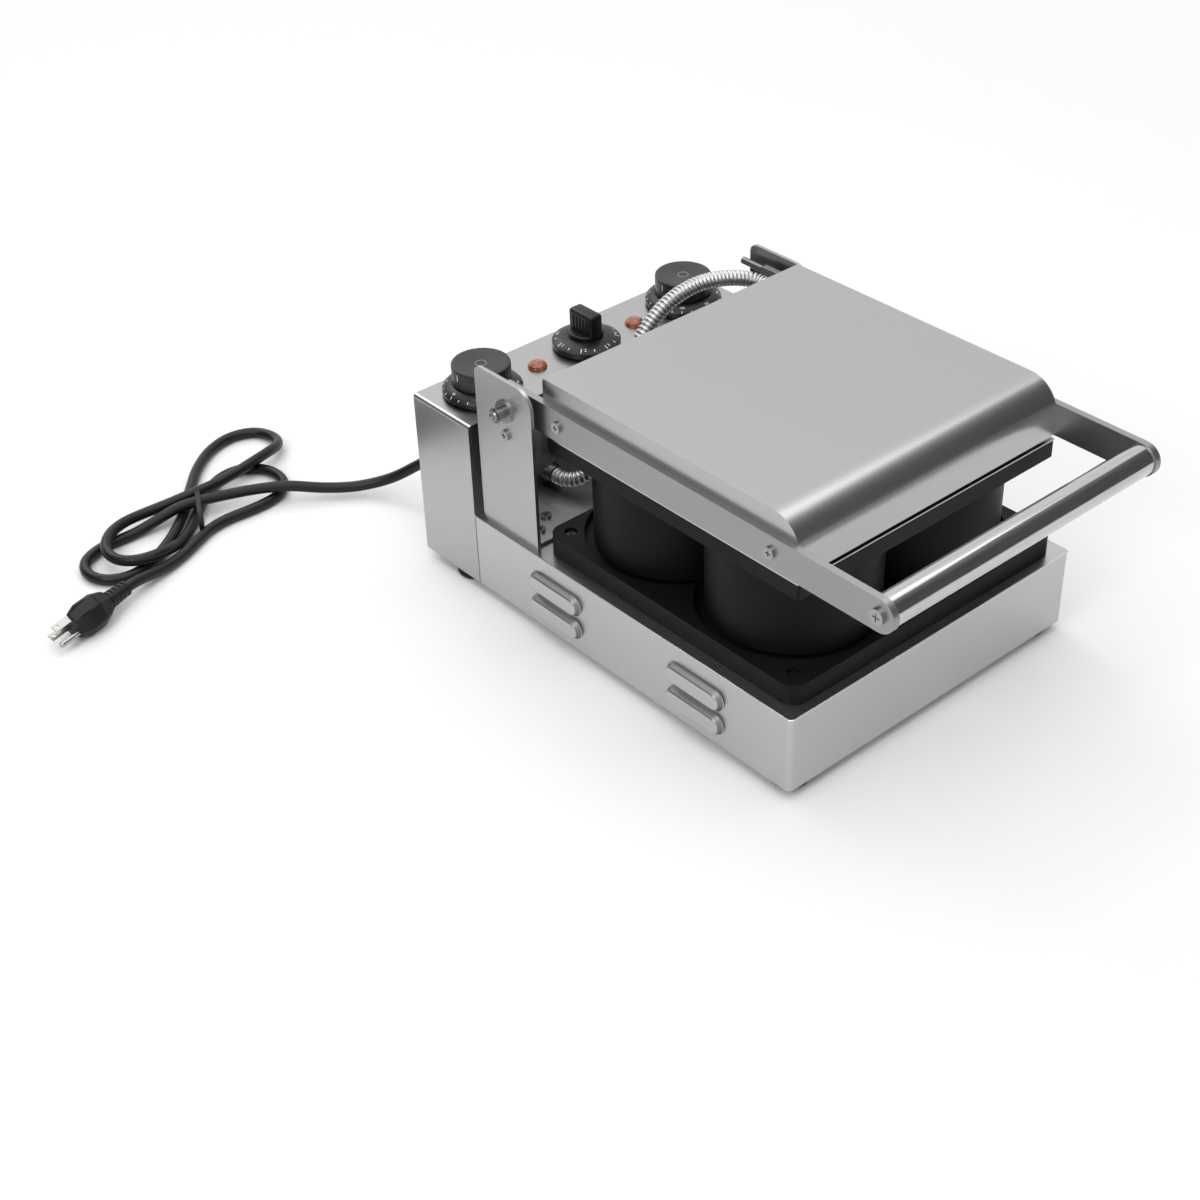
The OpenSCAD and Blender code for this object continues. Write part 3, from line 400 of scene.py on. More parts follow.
def inOrder(bm):
    # extrude, spin and solidify leave edges and faces in an order that changes from run to run
    # (not for the plug's body, where sorting before or after the bevel changes its sharp edges)
    bm.verts.index_update()
    rings = sorted([v.index for v in f.verts] for f in bm.faces)
    mesh = bpy.data.meshes.new("sorted")
    mesh.from_pydata([v.co for v in bm.verts], [], rings)
    bm.clear()
    bm.from_mesh(mesh)
    bpy.data.meshes.remove(mesh)


def sweep(bm, line, radii, segments):
    # a closed tube along the line, its radius changing from point to point
    frames = frameAlong(line)
    ring = bmesh.ops.create_circle(
        bm, cap_ends=False, segments=segments, radius=1.0,
        matrix=frames[0] @ Matrix.Scale(radii[0], 4),
    )["verts"]
    edges = list({e for v in ring for e in v.link_edges})
    first = edges[:]
    last = frames[0] @ Matrix.Scale(radii[0], 4)
    for m, r in zip(frames[1:], radii[1:]):
        now = m @ Matrix.Scale(r, 4)
        made = bmesh.ops.extrude_edge_only(bm, edges=edges)["geom"]
        verts = [g for g in made if isinstance(g, bmesh.types.BMVert)]
        edges = [g for g in made if isinstance(g, bmesh.types.BMEdge)]
        bmesh.ops.transform(bm, matrix=now @ last.inverted(), verts=verts)
        last = now
    bmesh.ops.contextual_create(bm, geom=first)
    bmesh.ops.contextual_create(bm, geom=edges)
    inOrder(bm)


# ---------------------------------------------------------------- cord
print("stage: cord")

rearY = corners("rear_panel")[1].y  # the cord's points are counted from the rear of the base
cord = {
    "diameter": 9.4 * mm,
    "route": [
        (-92, 36, 50), (-92, 46, 49.2), (-95, 57, 45), (-100, 69, 37), (-107, 80.5, 27.5),
        (-116, 92, 18.5), (-128, 104, 12.5), (-144, 116.5, 9.5), (-165, 132.5, 10.5),
        (-188, 149.5, 14.6), (-212, 165, 14.4), (-236, 175.5, 14.2), (-257, 182, 14.9),
        (-276, 186, 14.6), (-296, 188.5, 9.5), (-315, 190, 5.4), (-332, 191.2, 4.8),
        (-351, 190.5, 4.8), (-369, 182, 4.8), (-376.5, 164.5, 4.8), (-369, 146, 4.8),
        (-350, 138, 4.8), (-330, 143.5, 4.8), (-309, 155, 4.8), (-290, 169.5, 4.8),
        (-273, 186, 4.8), (-257, 204, 4.8), (-240, 224, 4.8), (-220, 245, 4.8),
        (-197, 261, 4.8), (-172, 267.4, 4.8), (-151.5, 259.5, 4.8), (-144.2, 239.5, 5.5),
        (-151.5, 220.5, 9.5), (-168, 209.5, 13.8), (-190, 203, 14.9), (-213, 198.8, 14.2),
        (-236, 196.2, 14.4), (-258, 196, 14.9), (-280, 198.5, 13.5), (-302, 200.5, 13),
        (-323, 197.5, 14.6), (-341.5, 188.5, 14.9), (-353, 173, 13.5), (-353.5, 155, 13.5),
        (-343.5, 141.3, 14.6), (-326, 136.8, 14.6), (-308, 142.5, 10.5), (-292.5, 152.5, 5.6),
        (-279, 163.5, 4.8), (-264, 177.5, 4.8), (-248, 193.5, 4.8), (-229, 209, 4.8),
        (-207, 216.5, 4.8), (-187, 209.5, 4.8), (-177.3, 192, 4.8), (-178, 173, 4.8),
        (-188.5, 159.5, 4.8), (-206, 153.5, 4.8), (-227, 153.5, 4.8), (-248, 155, 4.8),
        (-267, 152, 4.8), (-285, 143.5, 4.8), (-305, 134, 4.8), (-324, 127.5, 6.2),
        (-342, 122.4, 9.5), (-356, 118.5, 12.3), (-368, 115, 13),
    ],
    "plugTurn": 196.6,
    "plugRoll": -29.5,
    "tie": (-262, 174),
    "tieTurn": 62,
}


def atRear(p):
    return Vector((p[0] * mm, p[1] * mm + rearY, p[2] * mm))


cordLine = relaxed(evenly(curvePoints([atRear(p) for p in cord["route"]], 12), 0.003), 6)


def makeCord():
    data = bpy.data.curves.new("mainsCord", "CURVE")
    data.dimensions = "3D"
    data.bevel_depth = cord["diameter"] / 2
    data.bevel_resolution = 5
    data.use_fill_caps = True
    spline = data.splines.new("POLY")
    spline.points.add(len(cordLine) - 1)
    for point, p in zip(spline.points, cordLine):
        point.co = (*p, 1)
    spline.use_smooth = True
    obj = bpy.data.objects.new("mainsCord", data)
    bpy.context.scene.collection.objects.link(obj)
    data.materials.append(cordVinyl)
    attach(obj, "base")
    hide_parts("cord_lead", "cord_hank", "cord_tail")
    return obj


mainsCord = makeCord()
plugPlace = (
    Matrix.Translation(atRear(cord["route"][-1]))
    @ Matrix.Rotation(math.radians(cord["plugTurn"]), 4, "Z")
    @ Matrix.Rotation(math.radians(cord["plugRoll"]), 4, "X")
)

plug = {
    "ribs": 5,
    "reliefLength": 23 * mm,
    "reliefStart": 6.4 * mm,
    "reliefEnd": 7.8 * mm,
    "groove": 0.9 * mm,
    "collar": 9.0 * mm,
    "outline": [(-11, -9), (-8, -12), (2, -12), (13, -5), (13, 5), (2, 12), (-8, 12), (-11, 9)],
    "stations": [(24, 0.74), (26, 0.80), (36, 1.05), (52, 1.05), (60.8, 0.80)],
    "stepsPerRib": 6,
    "bodyFrom": 26.6 * mm,  # edges past this point are rounded
    "edge": 1.1 * mm,
}


def makePlug():
    bm = bmesh.new()
    line, radii = [], []
    per = plug["stepsPerRib"]
    for i in range(plug["ribs"] * per + 1):
        t = i / (plug["ribs"] * per)
        r = plug["reliefStart"] + (plug["reliefEnd"] - plug["reliefStart"]) * t
        inGroove = i % per in (4, 5)
        line.append(Vector((t * plug["reliefLength"], 0, 0)))
        radii.append(r - (plug["groove"] if inGroove else 0))
    line += [Vector((x * mm, 0, 0)) for x in (23.4, 24.2, 25.4, 26.4)]
    radii += [plug["collar"] * 0.95, plug["collar"], plug["collar"], plug["collar"] * 0.9]
    sweep(bm, line, radii, 32)
    # flat-sided body, one section carried from the collar to the front face
    at, size = plug["stations"][0]
    verts = [bm.verts.new((at * mm, y * size * mm, z * size * mm)) for y, z in plug["outline"]]
    face = bm.faces.new(verts)
    for nextAt, nextSize in plug["stations"][1:]:
        made = bmesh.ops.extrude_face_region(bm, geom=[face])["geom"]
        face = [g for g in made if isinstance(g, bmesh.types.BMFace)][0]
        ring = list(face.verts)
        grow = nextSize / size
        bmesh.ops.scale(bm, vec=(1, grow, grow), verts=ring)
        bmesh.ops.translate(bm, vec=((nextAt - at) * mm, 0, 0), verts=ring)
        at, size = nextAt, nextSize
    bodyEdges = [e for e in bm.edges if len(e.link_faces) == 2 and e.calc_face_angle(0) > 0.25
                 and all(v.co.x > plug["bodyFrom"] for v in e.verts)]
    bmesh.ops.bevel(bm, geom=bodyEdges, offset=plug["edge"], segments=3, affect="EDGES",
                    profile=0.5, material=-1)
    bmesh.ops.transform(bm, matrix=plugPlace, verts=bm.verts[:])
    obj = finished("plugBody", bm, plugVinyl, "base", True)
    sharpen(obj, 22)
    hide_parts("plug_body")
    return obj


plugBody = makePlug()

tie = {"width": 4.0 * mm, "thick": 0.7 * mm, "halfLength": 23.4 * mm, "top": 20.1 * mm}


def makeTie():
    # flat strap around the strands
    bm = bmesh.new()
    bmesh.ops.create_cube(bm, size=1.0)
    h = tie["top"]
    bmesh.ops.scale(bm, vec=(2 * tie["halfLength"], tie["width"], h), verts=bm.verts[:])
    bmesh.ops.translate(bm, vec=(0, 0, h / 2), verts=bm.verts[:])
    ends = [f for f in bm.faces if abs(f.normal.y) > 0.9]
    bmesh.ops.delete(bm, geom=ends, context="FACES_ONLY")
    upright = [e for e in bm.edges if abs(e.verts[0].co.y - e.verts[1].co.y) > 0.5 * tie["width"]]
    bmesh.ops.bevel(bm, geom=upright, offset=h * 0.46, segments=6, affect="EDGES",
                    profile=0.5, material=-1)
    bmesh.ops.solidify(bm, geom=bm.faces[:], thickness=tie["thick"])
    inOrder(bm)
    place = (
        Matrix.Translation(atRear((*cord["tie"], 0.2)))
        @ Matrix.Rotation(math.radians(cord["tieTurn"]), 4, "Z")
    )
    bmesh.ops.transform(bm, matrix=place, verts=bm.verts[:])
    obj = finished("cordStrap", bm, tieBlack, "base", True)
    sharpen(obj)
    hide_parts("cord_tie")
    return obj


cordStrap = makeTie()
print("cord length", round(lengthOf(cordLine), 4))

# ---------------------------------------------------------------- metal hose
print("stage: hose")

pivot = sum(corners("hinge_spacers"), Vector()) / 2
hose = {
    # counted from the hinge axis along Y
    "outer": 6.5 * mm,
    "valley": 5.1 * mm,
    "pitch": 3.6 * mm,
    "route": [
        (-76, 30.7, 84), (-76, 27, 84), (-76, 23, 84), (-68, 11, 87), (-50, 6, 102),
        (-32, 8, 130), (-15, 11, 160), (4, 13, 187), (30, 13, 205), (60, 12, 211),
        (86, 8, 209), (104, 1, 205), (111, -7, 202.5), (112, -12, 202), (112, -16.2, 202),
    ],
}


def makeHose():
    spots = [Vector((x * mm, y * mm + pivot.y, z * mm)) for x, y, z in hose["route"]]
    steps = 8
    line = evenly(curvePoints(spots, 10), hose["pitch"] / steps)
    shape = [0.0, 0.7, 0.95, 1.0, 1.0, 0.95, 0.7, 0.0]  # one rounded rib
    radii = [
        hose["valley"] + (hose["outer"] - hose["valley"]) * shape[i % steps]
        for i in range(len(line))
    ]
    bm = bmesh.new()
    sweep(bm, line, radii, 24)
    obj = finished("wireHose", bm, hoseSteel, None, True)
    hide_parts("metal_hose")
    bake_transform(obj)
    return obj


makeHose()

# ---------------------------------------------------------------- louvers
print("stage: louvers")

louver = {
    "length": 60 * mm,
    "height": 19 * mm,
    "front": 96 * mm,  # from the front of the base
    "rear": 252 * mm,
    "low": 18.5 * mm,
    "pitch": 22 * mm,
    # how far in from the outline and how far out of the wall, ring by ring
    "rings": [
        (0.0, 0.1), (0.5, 0.25), (0.9, 0.7), (2.1, 3.2),
        (2.6, 4.0), (3.3, 4.55), (4.2, 4.75), (5.6, 4.8),
    ],
    "sheet": 0.8 * mm,
    "wall": 150 * mm,
    "frontInset": 0.5 * mm,  # the pan starts this far behind the front of the base
    "segments": 48,
    "mouth": 0.8,  # share of the half height below which the hood is open
    "mouthEnd": 2 * mm,
    "flat": 0.75,  # a face whose normal points further sideways belongs to the flat
}


def makeLouvers(d):
    low = corners("base_shell")[0]
    r = d["height"] / 2
    half = (d["length"] - d["height"]) / 2
    bm = bmesh.new()
    for side in (-1, 1):
        for y in (d["front"], d["rear"]):
            for z in (d["low"], d["low"] + d["pitch"]):
                one = bmesh.new()
                ring = bmesh.ops.create_circle(one, segments=d["segments"], radius=r)["verts"]
                for v in ring:
                    v.co.x += math.copysign(half, v.co.x)
                edges = one.edges[:]
                last = 0.0
                for inset, out in d["rings"]:
                    made = bmesh.ops.extrude_edge_only(one, edges=edges)["geom"]
                    edges = [g for g in made if isinstance(g, bmesh.types.BMEdge)]
                    grown = (r - inset * mm) / (r - last * mm)
                    for v in {v for e in edges for v in e.verts}:
                        middle = math.copysign(half, v.co.x)
                        v.co.x = middle + (v.co.x - middle) * grown
                        v.co.y *= grown
                        v.co.z = out * mm
                    last = inset
                bmesh.ops.contextual_create(one, geom=edges)
                inOrder(one)
                under = [f for f in one.faces if f.normal.length
                         and f.calc_center_median().y < -r * d["mouth"]
                         and abs(f.calc_center_median().x) < half - d["mouthEnd"]]
                bmesh.ops.delete(one, geom=under, context="FACES")
                bmesh.ops.recalc_face_normals(one, faces=one.faces[:])
                bmesh.ops.solidify(one, geom=one.faces[:], thickness=d["sheet"])
                inOrder(one)
                turn = Matrix(((0, 0, side), (side, 0, 0), (0, 1, 0))).to_4x4()
                place = Matrix.Translation((side * d["wall"], low.y - d["frontInset"] + y, low.z + z))
                bmesh.ops.transform(one, matrix=place @ turn, verts=one.verts[:])
                mesh = bpy.data.meshes.new("one")
                one.to_mesh(mesh)
                one.free()
                bm.from_mesh(mesh)
                bpy.data.meshes.remove(mesh)
    obj = finished("louverHoods", bm, sheetAlongY, "base", True)
    sharpen(obj, 50)
    # painted shade: the sloped shoulders get a darker copy of the steel than the flat of the hood
    obj.data.materials.append(louverShadeSteel)
    for face in obj.data.polygons:
        if abs(face.normal.x) < d["flat"]:
            face.material_index = 1


makeLouvers(louver)

# ---------------------------------------------------------------- dial marks
print("stage: dials")

thermostatDial = {
    "rim": 5, "inset": 7.5, "marks": 18, "numbers": ["0", "50", "100", "150", "200", "250", "300"],
    "sweep": 270, "textSize": 2.9, "longMark": 2.2, "shortMark": 1.6, "markAt": 0.2,
    "beside": 0, "numberAt": 0.6,
}
timerDial = {
    "rim": 6, "inset": 12.25, "marks": 12, "numbers": ["0", "1", "2", "3", "4", "5", "6"],
    "sweep": 300, "textSize": 4.0, "longMark": 4.2, "shortMark": 2.4, "markAt": 0.36,
    "beside": 8, "numberAt": 0.42,
}
dials = {"bezel_left": thermostatDial, "bezel_middle": timerDial, "bezel_right": thermostatDial}
bezelHeight = 10 * mm


def shoulder(radius, d, t):
    # place and slope on the shoulder curve; t runs from 0 at the rim to 1 at the top
    a = math.radians(90 * t)
    inset, rise = d["inset"] * mm, bezelHeight - d["rim"] * mm
    r = radius - inset + inset * (math.cos(a) + 1 - t) / 2
    z = d["rim"] * mm + rise * (math.sin(a) + t) / 2
    dr = inset * (-math.sin(a) * math.pi / 2 - 1) / 2
    dz = rise * (math.cos(a) * math.pi / 2 + 1) / 2
    return r, z, math.atan2(dz, -dr)


def letters(text, size):
    data = bpy.data.curves.new("letters", "FONT")
    data.body = text
    data.size = size
    data.align_x = "CENTER"
    data.align_y = "CENTER"
    data.extrude = 0.00006
    data.resolution_u = 3
    obj = bpy.data.objects.new("letters", data)
    bpy.context.scene.collection.objects.link(obj)
    bpy.context.view_layer.update()
    mesh = bpy.data.meshes.new_from_object(obj.evaluated_get(bpy.context.evaluated_depsgraph_get()))
    bpy.data.objects.remove(obj)
    bpy.data.curves.remove(data)
    return mesh


def makeScale(bezel, d):
    low, high = corners(bezel)
    centre = (low + high) / 2
    radius = (high.x - low.x) / 2
    bm = bmesh.new()

    def place(turn, t, lift):
        r, z, slope = shoulder(radius, d, t)
        return (
            Matrix.Translation((centre.x, centre.y, low.z))
            @ Matrix.Rotation(turn, 4, "Z")
            @ Matrix.Translation((r, 0, z))
            @ Matrix.Rotation(math.pi / 2 - slope, 4, "Y").inverted()
            @ Matrix.Rotation(math.radians(90), 4, "Y")
            @ Matrix.Translation((0, 0, lift))
        )

    start = -90 - d["sweep"] / 2
    for i in range(d["marks"] + 1):
        turn = math.radians(start + d["sweep"] * i / d["marks"])
        longMark = i % (d["marks"] // (len(d["numbers"]) - 1)) == 0
        cell = bmesh.ops.create_cube(bm, size=1.0)["verts"]
        size = (d["longMark"] * mm if longMark else d["shortMark"] * mm, 0.6 * mm, 0.16 * mm)
        bmesh.ops.scale(bm, vec=size, verts=cell)
        bmesh.ops.transform(bm, matrix=place(turn, d["markAt"], 0.0), verts=cell)
    for i, word in enumerate(d["numbers"]):
        turn = math.radians(start + d["sweep"] * i / (len(d["numbers"]) - 1))
        mesh = letters(word, d["textSize"] * mm)
        beside = math.radians(d["beside"])
        mesh.transform(
            place(turn + beside, d["numberAt"], 0.00008) @ Matrix.Rotation(math.radians(90), 4, "Z")
        )
        bm.from_mesh(mesh)
        bpy.data.meshes.remove(mesh)
    return finished(bezel + "_scale", bm, scaleWhite, "base", False)


for bezelName, dial in dials.items():
    makeScale(bezelName, dial)

pointer = {"width": 0.7 * mm, "length": 5.5 * mm}


def makePointer(name, body):
    # white line down the side of a round knob, facing the left
    low, high = corners(name)
    centre = (low + high) / 2
    bm = bmesh.new()
    bmesh.ops.create_cube(bm, size=1.0)
    bmesh.ops.scale(bm, vec=(0.4 * mm, pointer["width"], pointer["length"]), verts=bm.verts[:])
    bmesh.ops.bevel(bm, geom=bm.edges[:], offset=0.00008, segments=2, affect="EDGES",
                    profile=0.5, material=-1)
    bmesh.ops.translate(
        bm, vec=(low.x + 0.1 * mm, centre.y, high.z - 5.6 * mm), verts=bm.verts[:]
    )
    finished(name + "_pointer", bm, scaleWhite, body, False)


makePointer("knob_left", "thermostat_dial_left")
makePointer("knob_right", "thermostat_dial_right")


def turned(bm, profile, steps, matrix):
    # a profile of (radius, height) in millimetres, turned about its axis
    own = bmesh.new()
    line = [own.verts.new((r * mm, 0, z * mm)) for r, z in profile]
    edges = [own.edges.new(pair) for pair in zip(line, line[1:])]
    bmesh.ops.spin(own, geom=line + edges, cent=(0, 0, 0), axis=(0, 0, 1),
                   angle=2 * math.pi, steps=steps, use_merge=True)
    bmesh.ops.remove_doubles(own, verts=own.verts[:], dist=0.00001)
    inOrder(own)
    bmesh.ops.transform(own, matrix=matrix, verts=own.verts[:])
    mesh = bpy.data.meshes.new("turned")
    own.to_mesh(mesh)
    own.free()
    bm.from_mesh(mesh)
    bpy.data.meshes.remove(mesh)


def arc(cx, cz, r, start, end, count):
    angles = [math.radians(start + (end - start) * i / count) for i in range(count + 1)]
    return [(cx + r * math.cos(a), cz + r * math.sin(a)) for a in angles]


cap = {"dish": 1.3, "edge": 1.4, "ring": 4.4, "ringWire": 0.3}


def makeCap(name, body):
    low, high = corners(name)
    r, h = (high.x - low.x) / 2 / mm, (high.z - low.z) / mm
    dish = [(r * k, h - cap["dish"] * (1 + math.cos(math.pi * k)) / 2)
            for k in (0, 0.08, 0.18, 0.3, 0.42, 0.54, 0.66, 0.78, 0.88)]
    side = arc(r - cap["edge"], h - cap["edge"], cap["edge"], 90, 0, 5)
    foot = arc(r - 0.5, 0.5, 0.5, 0, -90, 3)
    centre = Matrix.Translation(((low.x + high.x) / 2, (low.y + high.y) / 2, low.z))
    bm = bmesh.new()
    turned(bm, dish + side + foot + [(0, 0)], 96, centre)
    obj = finished(name + "_cap", bm, knobCharcoal, body, True)
    sharpen(obj, 50)
    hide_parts(name)
    ringHeight = h - cap["dish"] * 0.97 + 0.12
    bm = bmesh.new()
    turned(bm, arc(cap["ring"], ringHeight, cap["ringWire"], 0, 360, 10), 64, centre)
    finished(name + "_ring", bm, ringGrey, body, True)


makeCap("knob_left", "thermostat_dial_left")
makeCap("knob_right", "thermostat_dial_right")

grip = {
    "hub": 14.25, "hubHeight": 3.5, "length": 28.0, "core": 13.4, "height": 21.0,
    "ribs": 5, "ribWidth": 2.7, "ribPitch": 3.9, "ribOut": 0.6, "ribHeight": 17.5,
}


def addBlock(bm, size, centre, edge, segments):
    # box with rounded vertical and top edges
    own = bmesh.new()
    bmesh.ops.create_cube(own, size=1.0)
    bmesh.ops.scale(own, vec=[s * mm for s in size], verts=own.verts[:])
    edges = [e for e in own.edges if max(v.co.z for v in e.verts) > 0]
    bmesh.ops.bevel(own, geom=edges, offset=edge * mm, segments=segments, affect="EDGES",
                    profile=0.5, material=-1)
    bmesh.ops.translate(own, vec=centre + Vector((0, 0, size[2] / 2 * mm)), verts=own.verts[:])
    mesh = bpy.data.meshes.new("block")
    own.to_mesh(mesh)
    own.free()
    bm.from_mesh(mesh)
    bpy.data.meshes.remove(mesh)


def makeGrip(g):
    low, high = corners("knob_middle")
    centre = Vector(((low.x + high.x) / 2, (low.y + high.y) / 2, low.z))
    bm = bmesh.new()
    hub = [(0, 0), (g["hub"], 0)] + arc(g["hub"] - 1.2, g["hubHeight"] - 1.2, 1.2, 0, 90, 4)
    turned(bm, hub + [(0, g["hubHeight"])], 64, Matrix.Translation(centre))
    addBlock(bm, (g["core"], g["length"], g["height"]), centre, 3.0, 5)
    for i in range(g["ribs"]):
        y = (i - (g["ribs"] - 1) / 2) * g["ribPitch"] * mm
        addBlock(bm, (g["core"] + 2 * g["ribOut"], g["ribWidth"], g["ribHeight"]),
                 centre + Vector((0, y, 0)), 1.1, 3)
    obj = finished("timerGrip", bm, bezelBlack, "timer_dial", True)
    sharpen(obj, 45)
    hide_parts("knob_middle")


makeGrip(grip)

# ---------------------------------------------------------------- feet
print("stage: feet and hems")

feet = {
    "height": 8.0,
    "radius": 15.3,
    "places": [(129.5, -154.5), (134.3, 201.0)],
    "recess": 5.5,
    "recessDepth": 3.5,
}


def makeFeet(d):
    rubber, heads = bmesh.new(), bmesh.new()
    r, h = d["radius"], d["height"]
    profile = [(0, h), (r - 0.8, h), (r - 0.2, h - 0.6)] + arc(r - 2.6, 2.6, 2.6, 0, -90, 6)
    profile += [(d["recess"], 0), (d["recess"], d["recessDepth"]), (0, d["recessDepth"])]
    head = [(0, 1.2), (3.0, 1.3), (4.4, 2.4), (4.4, 3.6), (0, 3.6)]
    for x, y in d["places"]:
        for side in (-1, 1):
            spot = Matrix.Translation((side * x * mm, y * mm, 0))
            turned(rubber, profile, 48, spot)
            turned(heads, head, 24, spot)
    obj = finished("rubberFeet", rubber, footRubber, "base", True)
    sharpen(obj, 50)
    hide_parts("foot_front_left", "foot_front_right", "foot_rear_left", "foot_rear_right")
    screws = finished("footScrewHeads", heads, boltSteel, "base", True)
    sharpen(screws, 50)
    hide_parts("foot_screws")


makeFeet(feet)

hem = {"wire": 0.65 * mm, "corner": 4 * mm, "cornerSteps": 6, "drop": 0.55 * mm}


def cornered(points, radius, steps):
    # the open line through the points, its corners rounded
    line = [points[0]]
    for a, b, c in zip(points, points[1:], points[2:]):
        before, after = (a - b).normalized() * radius, (c - b).normalized() * radius
        for i in range(steps + 1):
            t = i / steps
            line.append((b + before).lerp(b, t).lerp(b.lerp(b + after, t), t))
    return line + [points[-1]]


def makeHems(d):
    low, high = corners("deck")
    top = high.z - d["drop"]
    back = corners("control_housing")[0].y - 0.5 * mm
    inset = d["drop"]
    spots = [
        (low.x + inset, back, top), (low.x + inset, low.y + inset, top),
        (high.x - inset, low.y + inset, top), (high.x - inset, back, top),
    ]
    bm = bmesh.new()
    line = cornered([Vector(p) for p in spots], d["corner"], d["cornerSteps"])
    sweep(bm, line, [d["wire"]] * len(line), 10)
    # the hem's round section catches real highlights, and its bright steel adds a painted highlight
    finished("deckHem", bm, hemHighlightSteel, "base", True)


makeHems(hem)

pinLook = {"radius": 4.5, "groove": 3.6, "centre": 1.9}


def makePins(d):
    for name, side in (("hinge_pin_left", -1), ("hinge_pin_right", 1)):
        low, high = corners(name)
        tip = max(abs(low.x), abs(high.x)) / mm
        inner = min(abs(low.x), abs(high.x)) / mm
        long = tip - inner
        r = d["radius"]
        profile = [(0, 0), (r, 0), (r, long - 4.2), (d["groove"], long - 4.1),
                   (d["groove"], long - 3.0), (r, long - 2.9), (r, long - 1.1),
                   (r - 0.9, long - 0.1), (r - 1.3, long), (d["centre"], long),
                   (d["centre"] - 0.5, long - 1.0), (0, long - 1.4)]
        turn = Matrix.Rotation(math.radians(90 * side), 4, "Y")
        spot = Matrix.Translation((side * inner * mm, (low.y + high.y) / 2, (low.z + high.z) / 2))
        bm = bmesh.new()
        turned(bm, profile, 48, spot @ turn)
        obj = finished(name + "_turned", bm, pinSteel, "base", True)
        sharpen(obj, 30)
        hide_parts(name)


makePins(pinLook)

# ---------------------------------------------------------------- floor and light

floor = {"size": 12.0, "color": (0.84, 0.84, 0.84), "plainFrom": 0.9, "plainTo": 1.7}


def backgroundRays(tree):
    # 1 for what the camera, metal and glass see, 0 for the light that falls on the object
    path = tree.nodes.new("ShaderNodeLightPath")
    total = path.outputs["Is Camera Ray"]
    for kind in ("Is Glossy Ray", "Is Transmission Ray"):
        add = tree.nodes.new("ShaderNodeMath")
        add.operation = "MAXIMUM"
        tree.links.new(total, add.inputs[0])
        link(tree, path, kind, add, 1)
        total = add.outputs[0]
    return total


def stagePlane(name, mat, size, place, turn=(0, 0, 0)):
    bm = bmesh.new()
    bmesh.ops.create_grid(bm, x_segments=1, y_segments=1, size=0.5)
    bmesh.ops.scale(bm, vec=(size[0], size[1], 1), verts=bm.verts[:])
    lie = Matrix.Translation(place) @ Euler([math.radians(t) for t in turn]).to_matrix().to_4x4()
    bmesh.ops.transform(bm, matrix=lie, verts=bm.verts[:])
    mesh = bpy.data.meshes.new(name)
    bm.to_mesh(mesh)
    bm.free()
    obj = bpy.data.objects.new(name, mesh)
    bpy.context.scene.collection.objects.link(obj)
    mesh.materials.append(mat)
    return obj


def makeFloor(d):
    mat, tree, bsdf = newMaterial("floorWhite")
    mapping = objectMap(tree, (1, 1, 1))
    n = noise(tree, mapping, 6.0)
    mix = spread(tree, n, "Fac", 0, 1)
    color = tint(tree, mix.outputs["Result"], [c * 0.995 for c in d["color"]], d["color"])
    tree.links.new(color, bsdf.inputs["Base Color"])
    bsdf.inputs["Roughness"].default_value = 0.9
    bsdf.inputs["Specular IOR Level"].default_value = 0.1
    # far from the object the floor is plain white
    away = tree.nodes.new("ShaderNodeVectorMath")
    away.operation = "LENGTH"
    link(tree, mapping, "Vector", away, 0)
    far = spread(tree, away, "Value", 0, 1, d["plainFrom"], d["plainTo"])
    both = tree.nodes.new("ShaderNodeMath")
    both.operation = "MULTIPLY"
    link(tree, far, "Result", both, 0)
    tree.links.new(backgroundRays(tree), both.inputs[1])
    white = tree.nodes.new("ShaderNodeEmission")
    white.inputs["Color"].default_value = (1, 1, 1, 1)
    blend = tree.nodes.new("ShaderNodeMixShader")
    tree.links.new(both.outputs[0], blend.inputs[0])
    tree.links.new(bsdf.outputs[0], blend.inputs[1])
    tree.links.new(white.outputs[0], blend.inputs[2])
    tree.links.new(blend.outputs[0], tree.nodes["Material Output"].inputs["Surface"])
    stagePlane("floor", mat, (d["size"], d["size"]), (0, 0, -0.0004))


makeFloor(floor)

# grey studio cards, which only the reflections show
cards = [
    # name, grey at the lower and upper edge, width and height, distance, compass angle
    ("frontCard", (0.11, 0.42), (2.3, 2.7), 1.45, -42),
    ("leftCard", (0.06, 0.45), (3.4, 1.5), 1.9, 155),
]


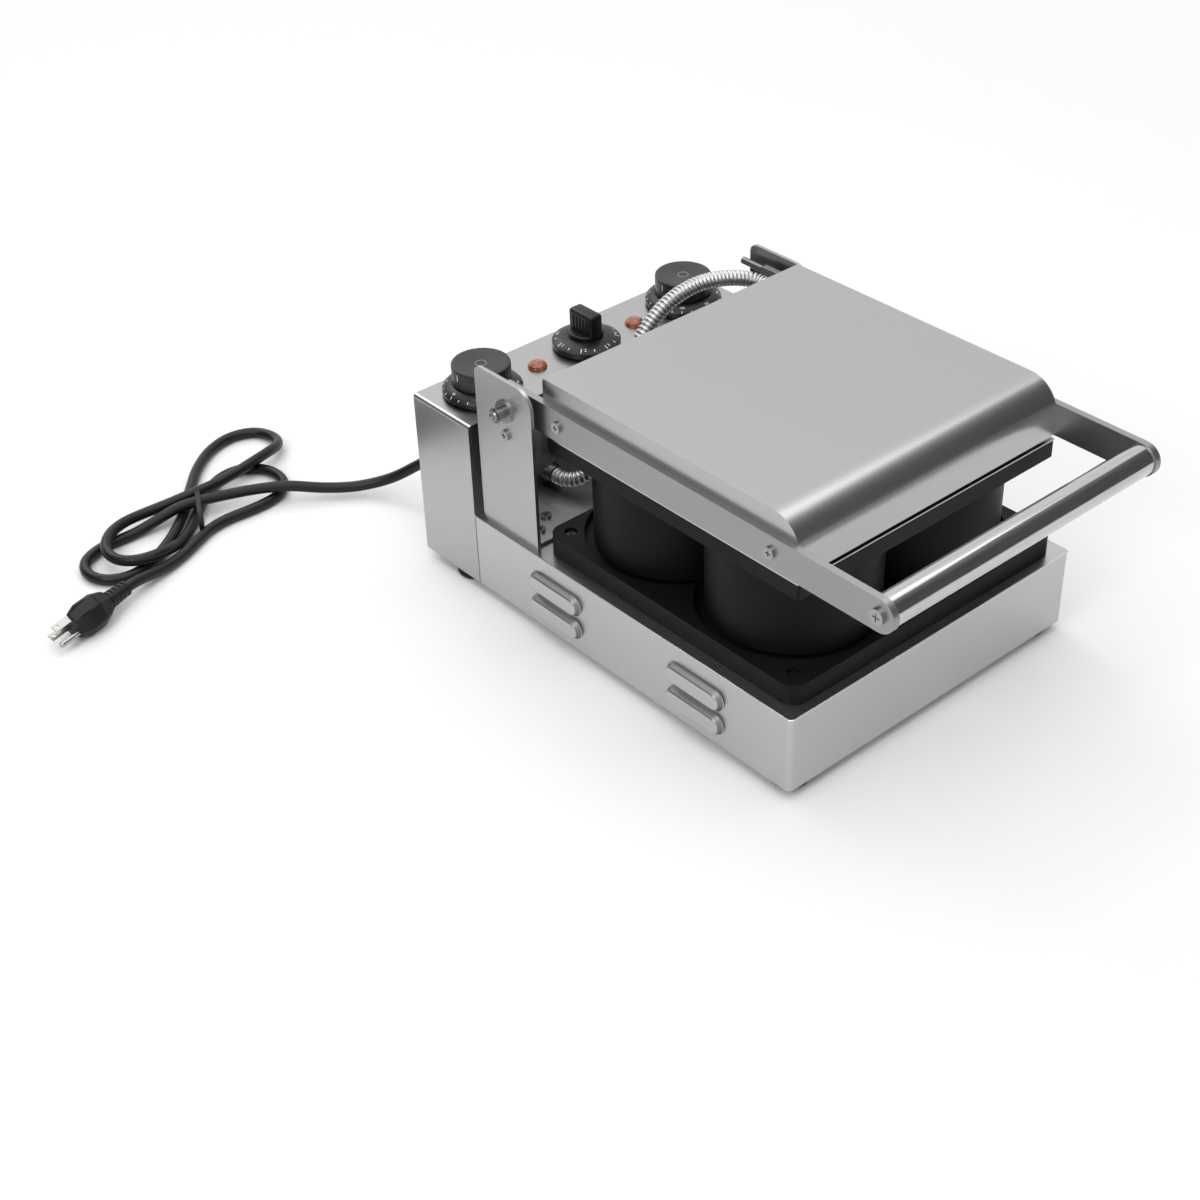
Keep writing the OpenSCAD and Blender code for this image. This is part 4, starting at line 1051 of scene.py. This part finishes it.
def makeCard(name, greys, size, distance, compass):
    mat, tree, _ = newMaterial(name + "Grey")
    split = tree.nodes.new("ShaderNodeSeparateXYZ")
    link(tree, objectMap(tree, (1, 1, 1)), "Vector", split, "Vector")
    rise = spread(tree, split, "Z", 0, 1, size[1] * 0.45, size[1])
    glow = tree.nodes.new("ShaderNodeEmission")
    color = tint(tree, rise.outputs["Result"], [greys[0]] * 3, [greys[1]] * 3)
    tree.links.new(color, glow.inputs["Color"])
    tree.links.new(glow.outputs[0], tree.nodes["Material Output"].inputs["Surface"])
    angle = math.radians(compass)
    place = (distance * math.cos(angle), distance * math.sin(angle), 0.01 + size[1] / 2)
    obj = stagePlane(name, mat, size, place, (90, 0, compass + 90))
    obj.visible_camera = False
    obj.visible_diffuse = False
    obj.visible_shadow = False


for card in cards:
    makeCard(*card)


def addLamp(name, place, target, size, watts):
    data = bpy.data.lights.new(name, "AREA")
    data.shape = "RECTANGLE"
    data.size, data.size_y = size
    data.energy = watts
    obj = bpy.data.objects.new(name, data)
    obj.location = place
    aim = Vector(target) - Vector(place)
    obj.rotation_euler = aim.to_track_quat("-Z", "Y").to_euler()
    bpy.context.scene.collection.objects.link(obj)


addLamp("overheadSoft", (0.1, -0.1, 2.3), (0.05, 0, 0.1), (3.4, 3.4), 46)
addLamp("leftSoft", (-2.2, -0.4, 1.8), (0, 0.1, 0.1), (0.9, 0.9), 18)
addLamp("rearSoft", (0.2, 2.6, 2.2), (0, 0.2, 0.1), (1.6, 1.2), 18)


def makeWorld(fill):
    world = bpy.data.worlds.new("studio")
    bpy.context.scene.world = world
    world.use_nodes = True
    tree = world.node_tree
    sky = tree.nodes["Background"]
    sky.inputs["Color"].default_value = (fill, fill, fill, 1)
    seen = tree.nodes.new("ShaderNodeBackground")
    seen.inputs["Color"].default_value = (1, 1, 1, 1)
    mix = tree.nodes.new("ShaderNodeMixShader")
    tree.links.new(backgroundRays(tree), mix.inputs[0])
    tree.links.new(sky.outputs[0], mix.inputs[1])
    tree.links.new(seen.outputs[0], mix.inputs[2])
    tree.links.new(mix.outputs[0], tree.nodes["World Output"].inputs["Surface"])


makeWorld(0.55)
print("stage: finish")
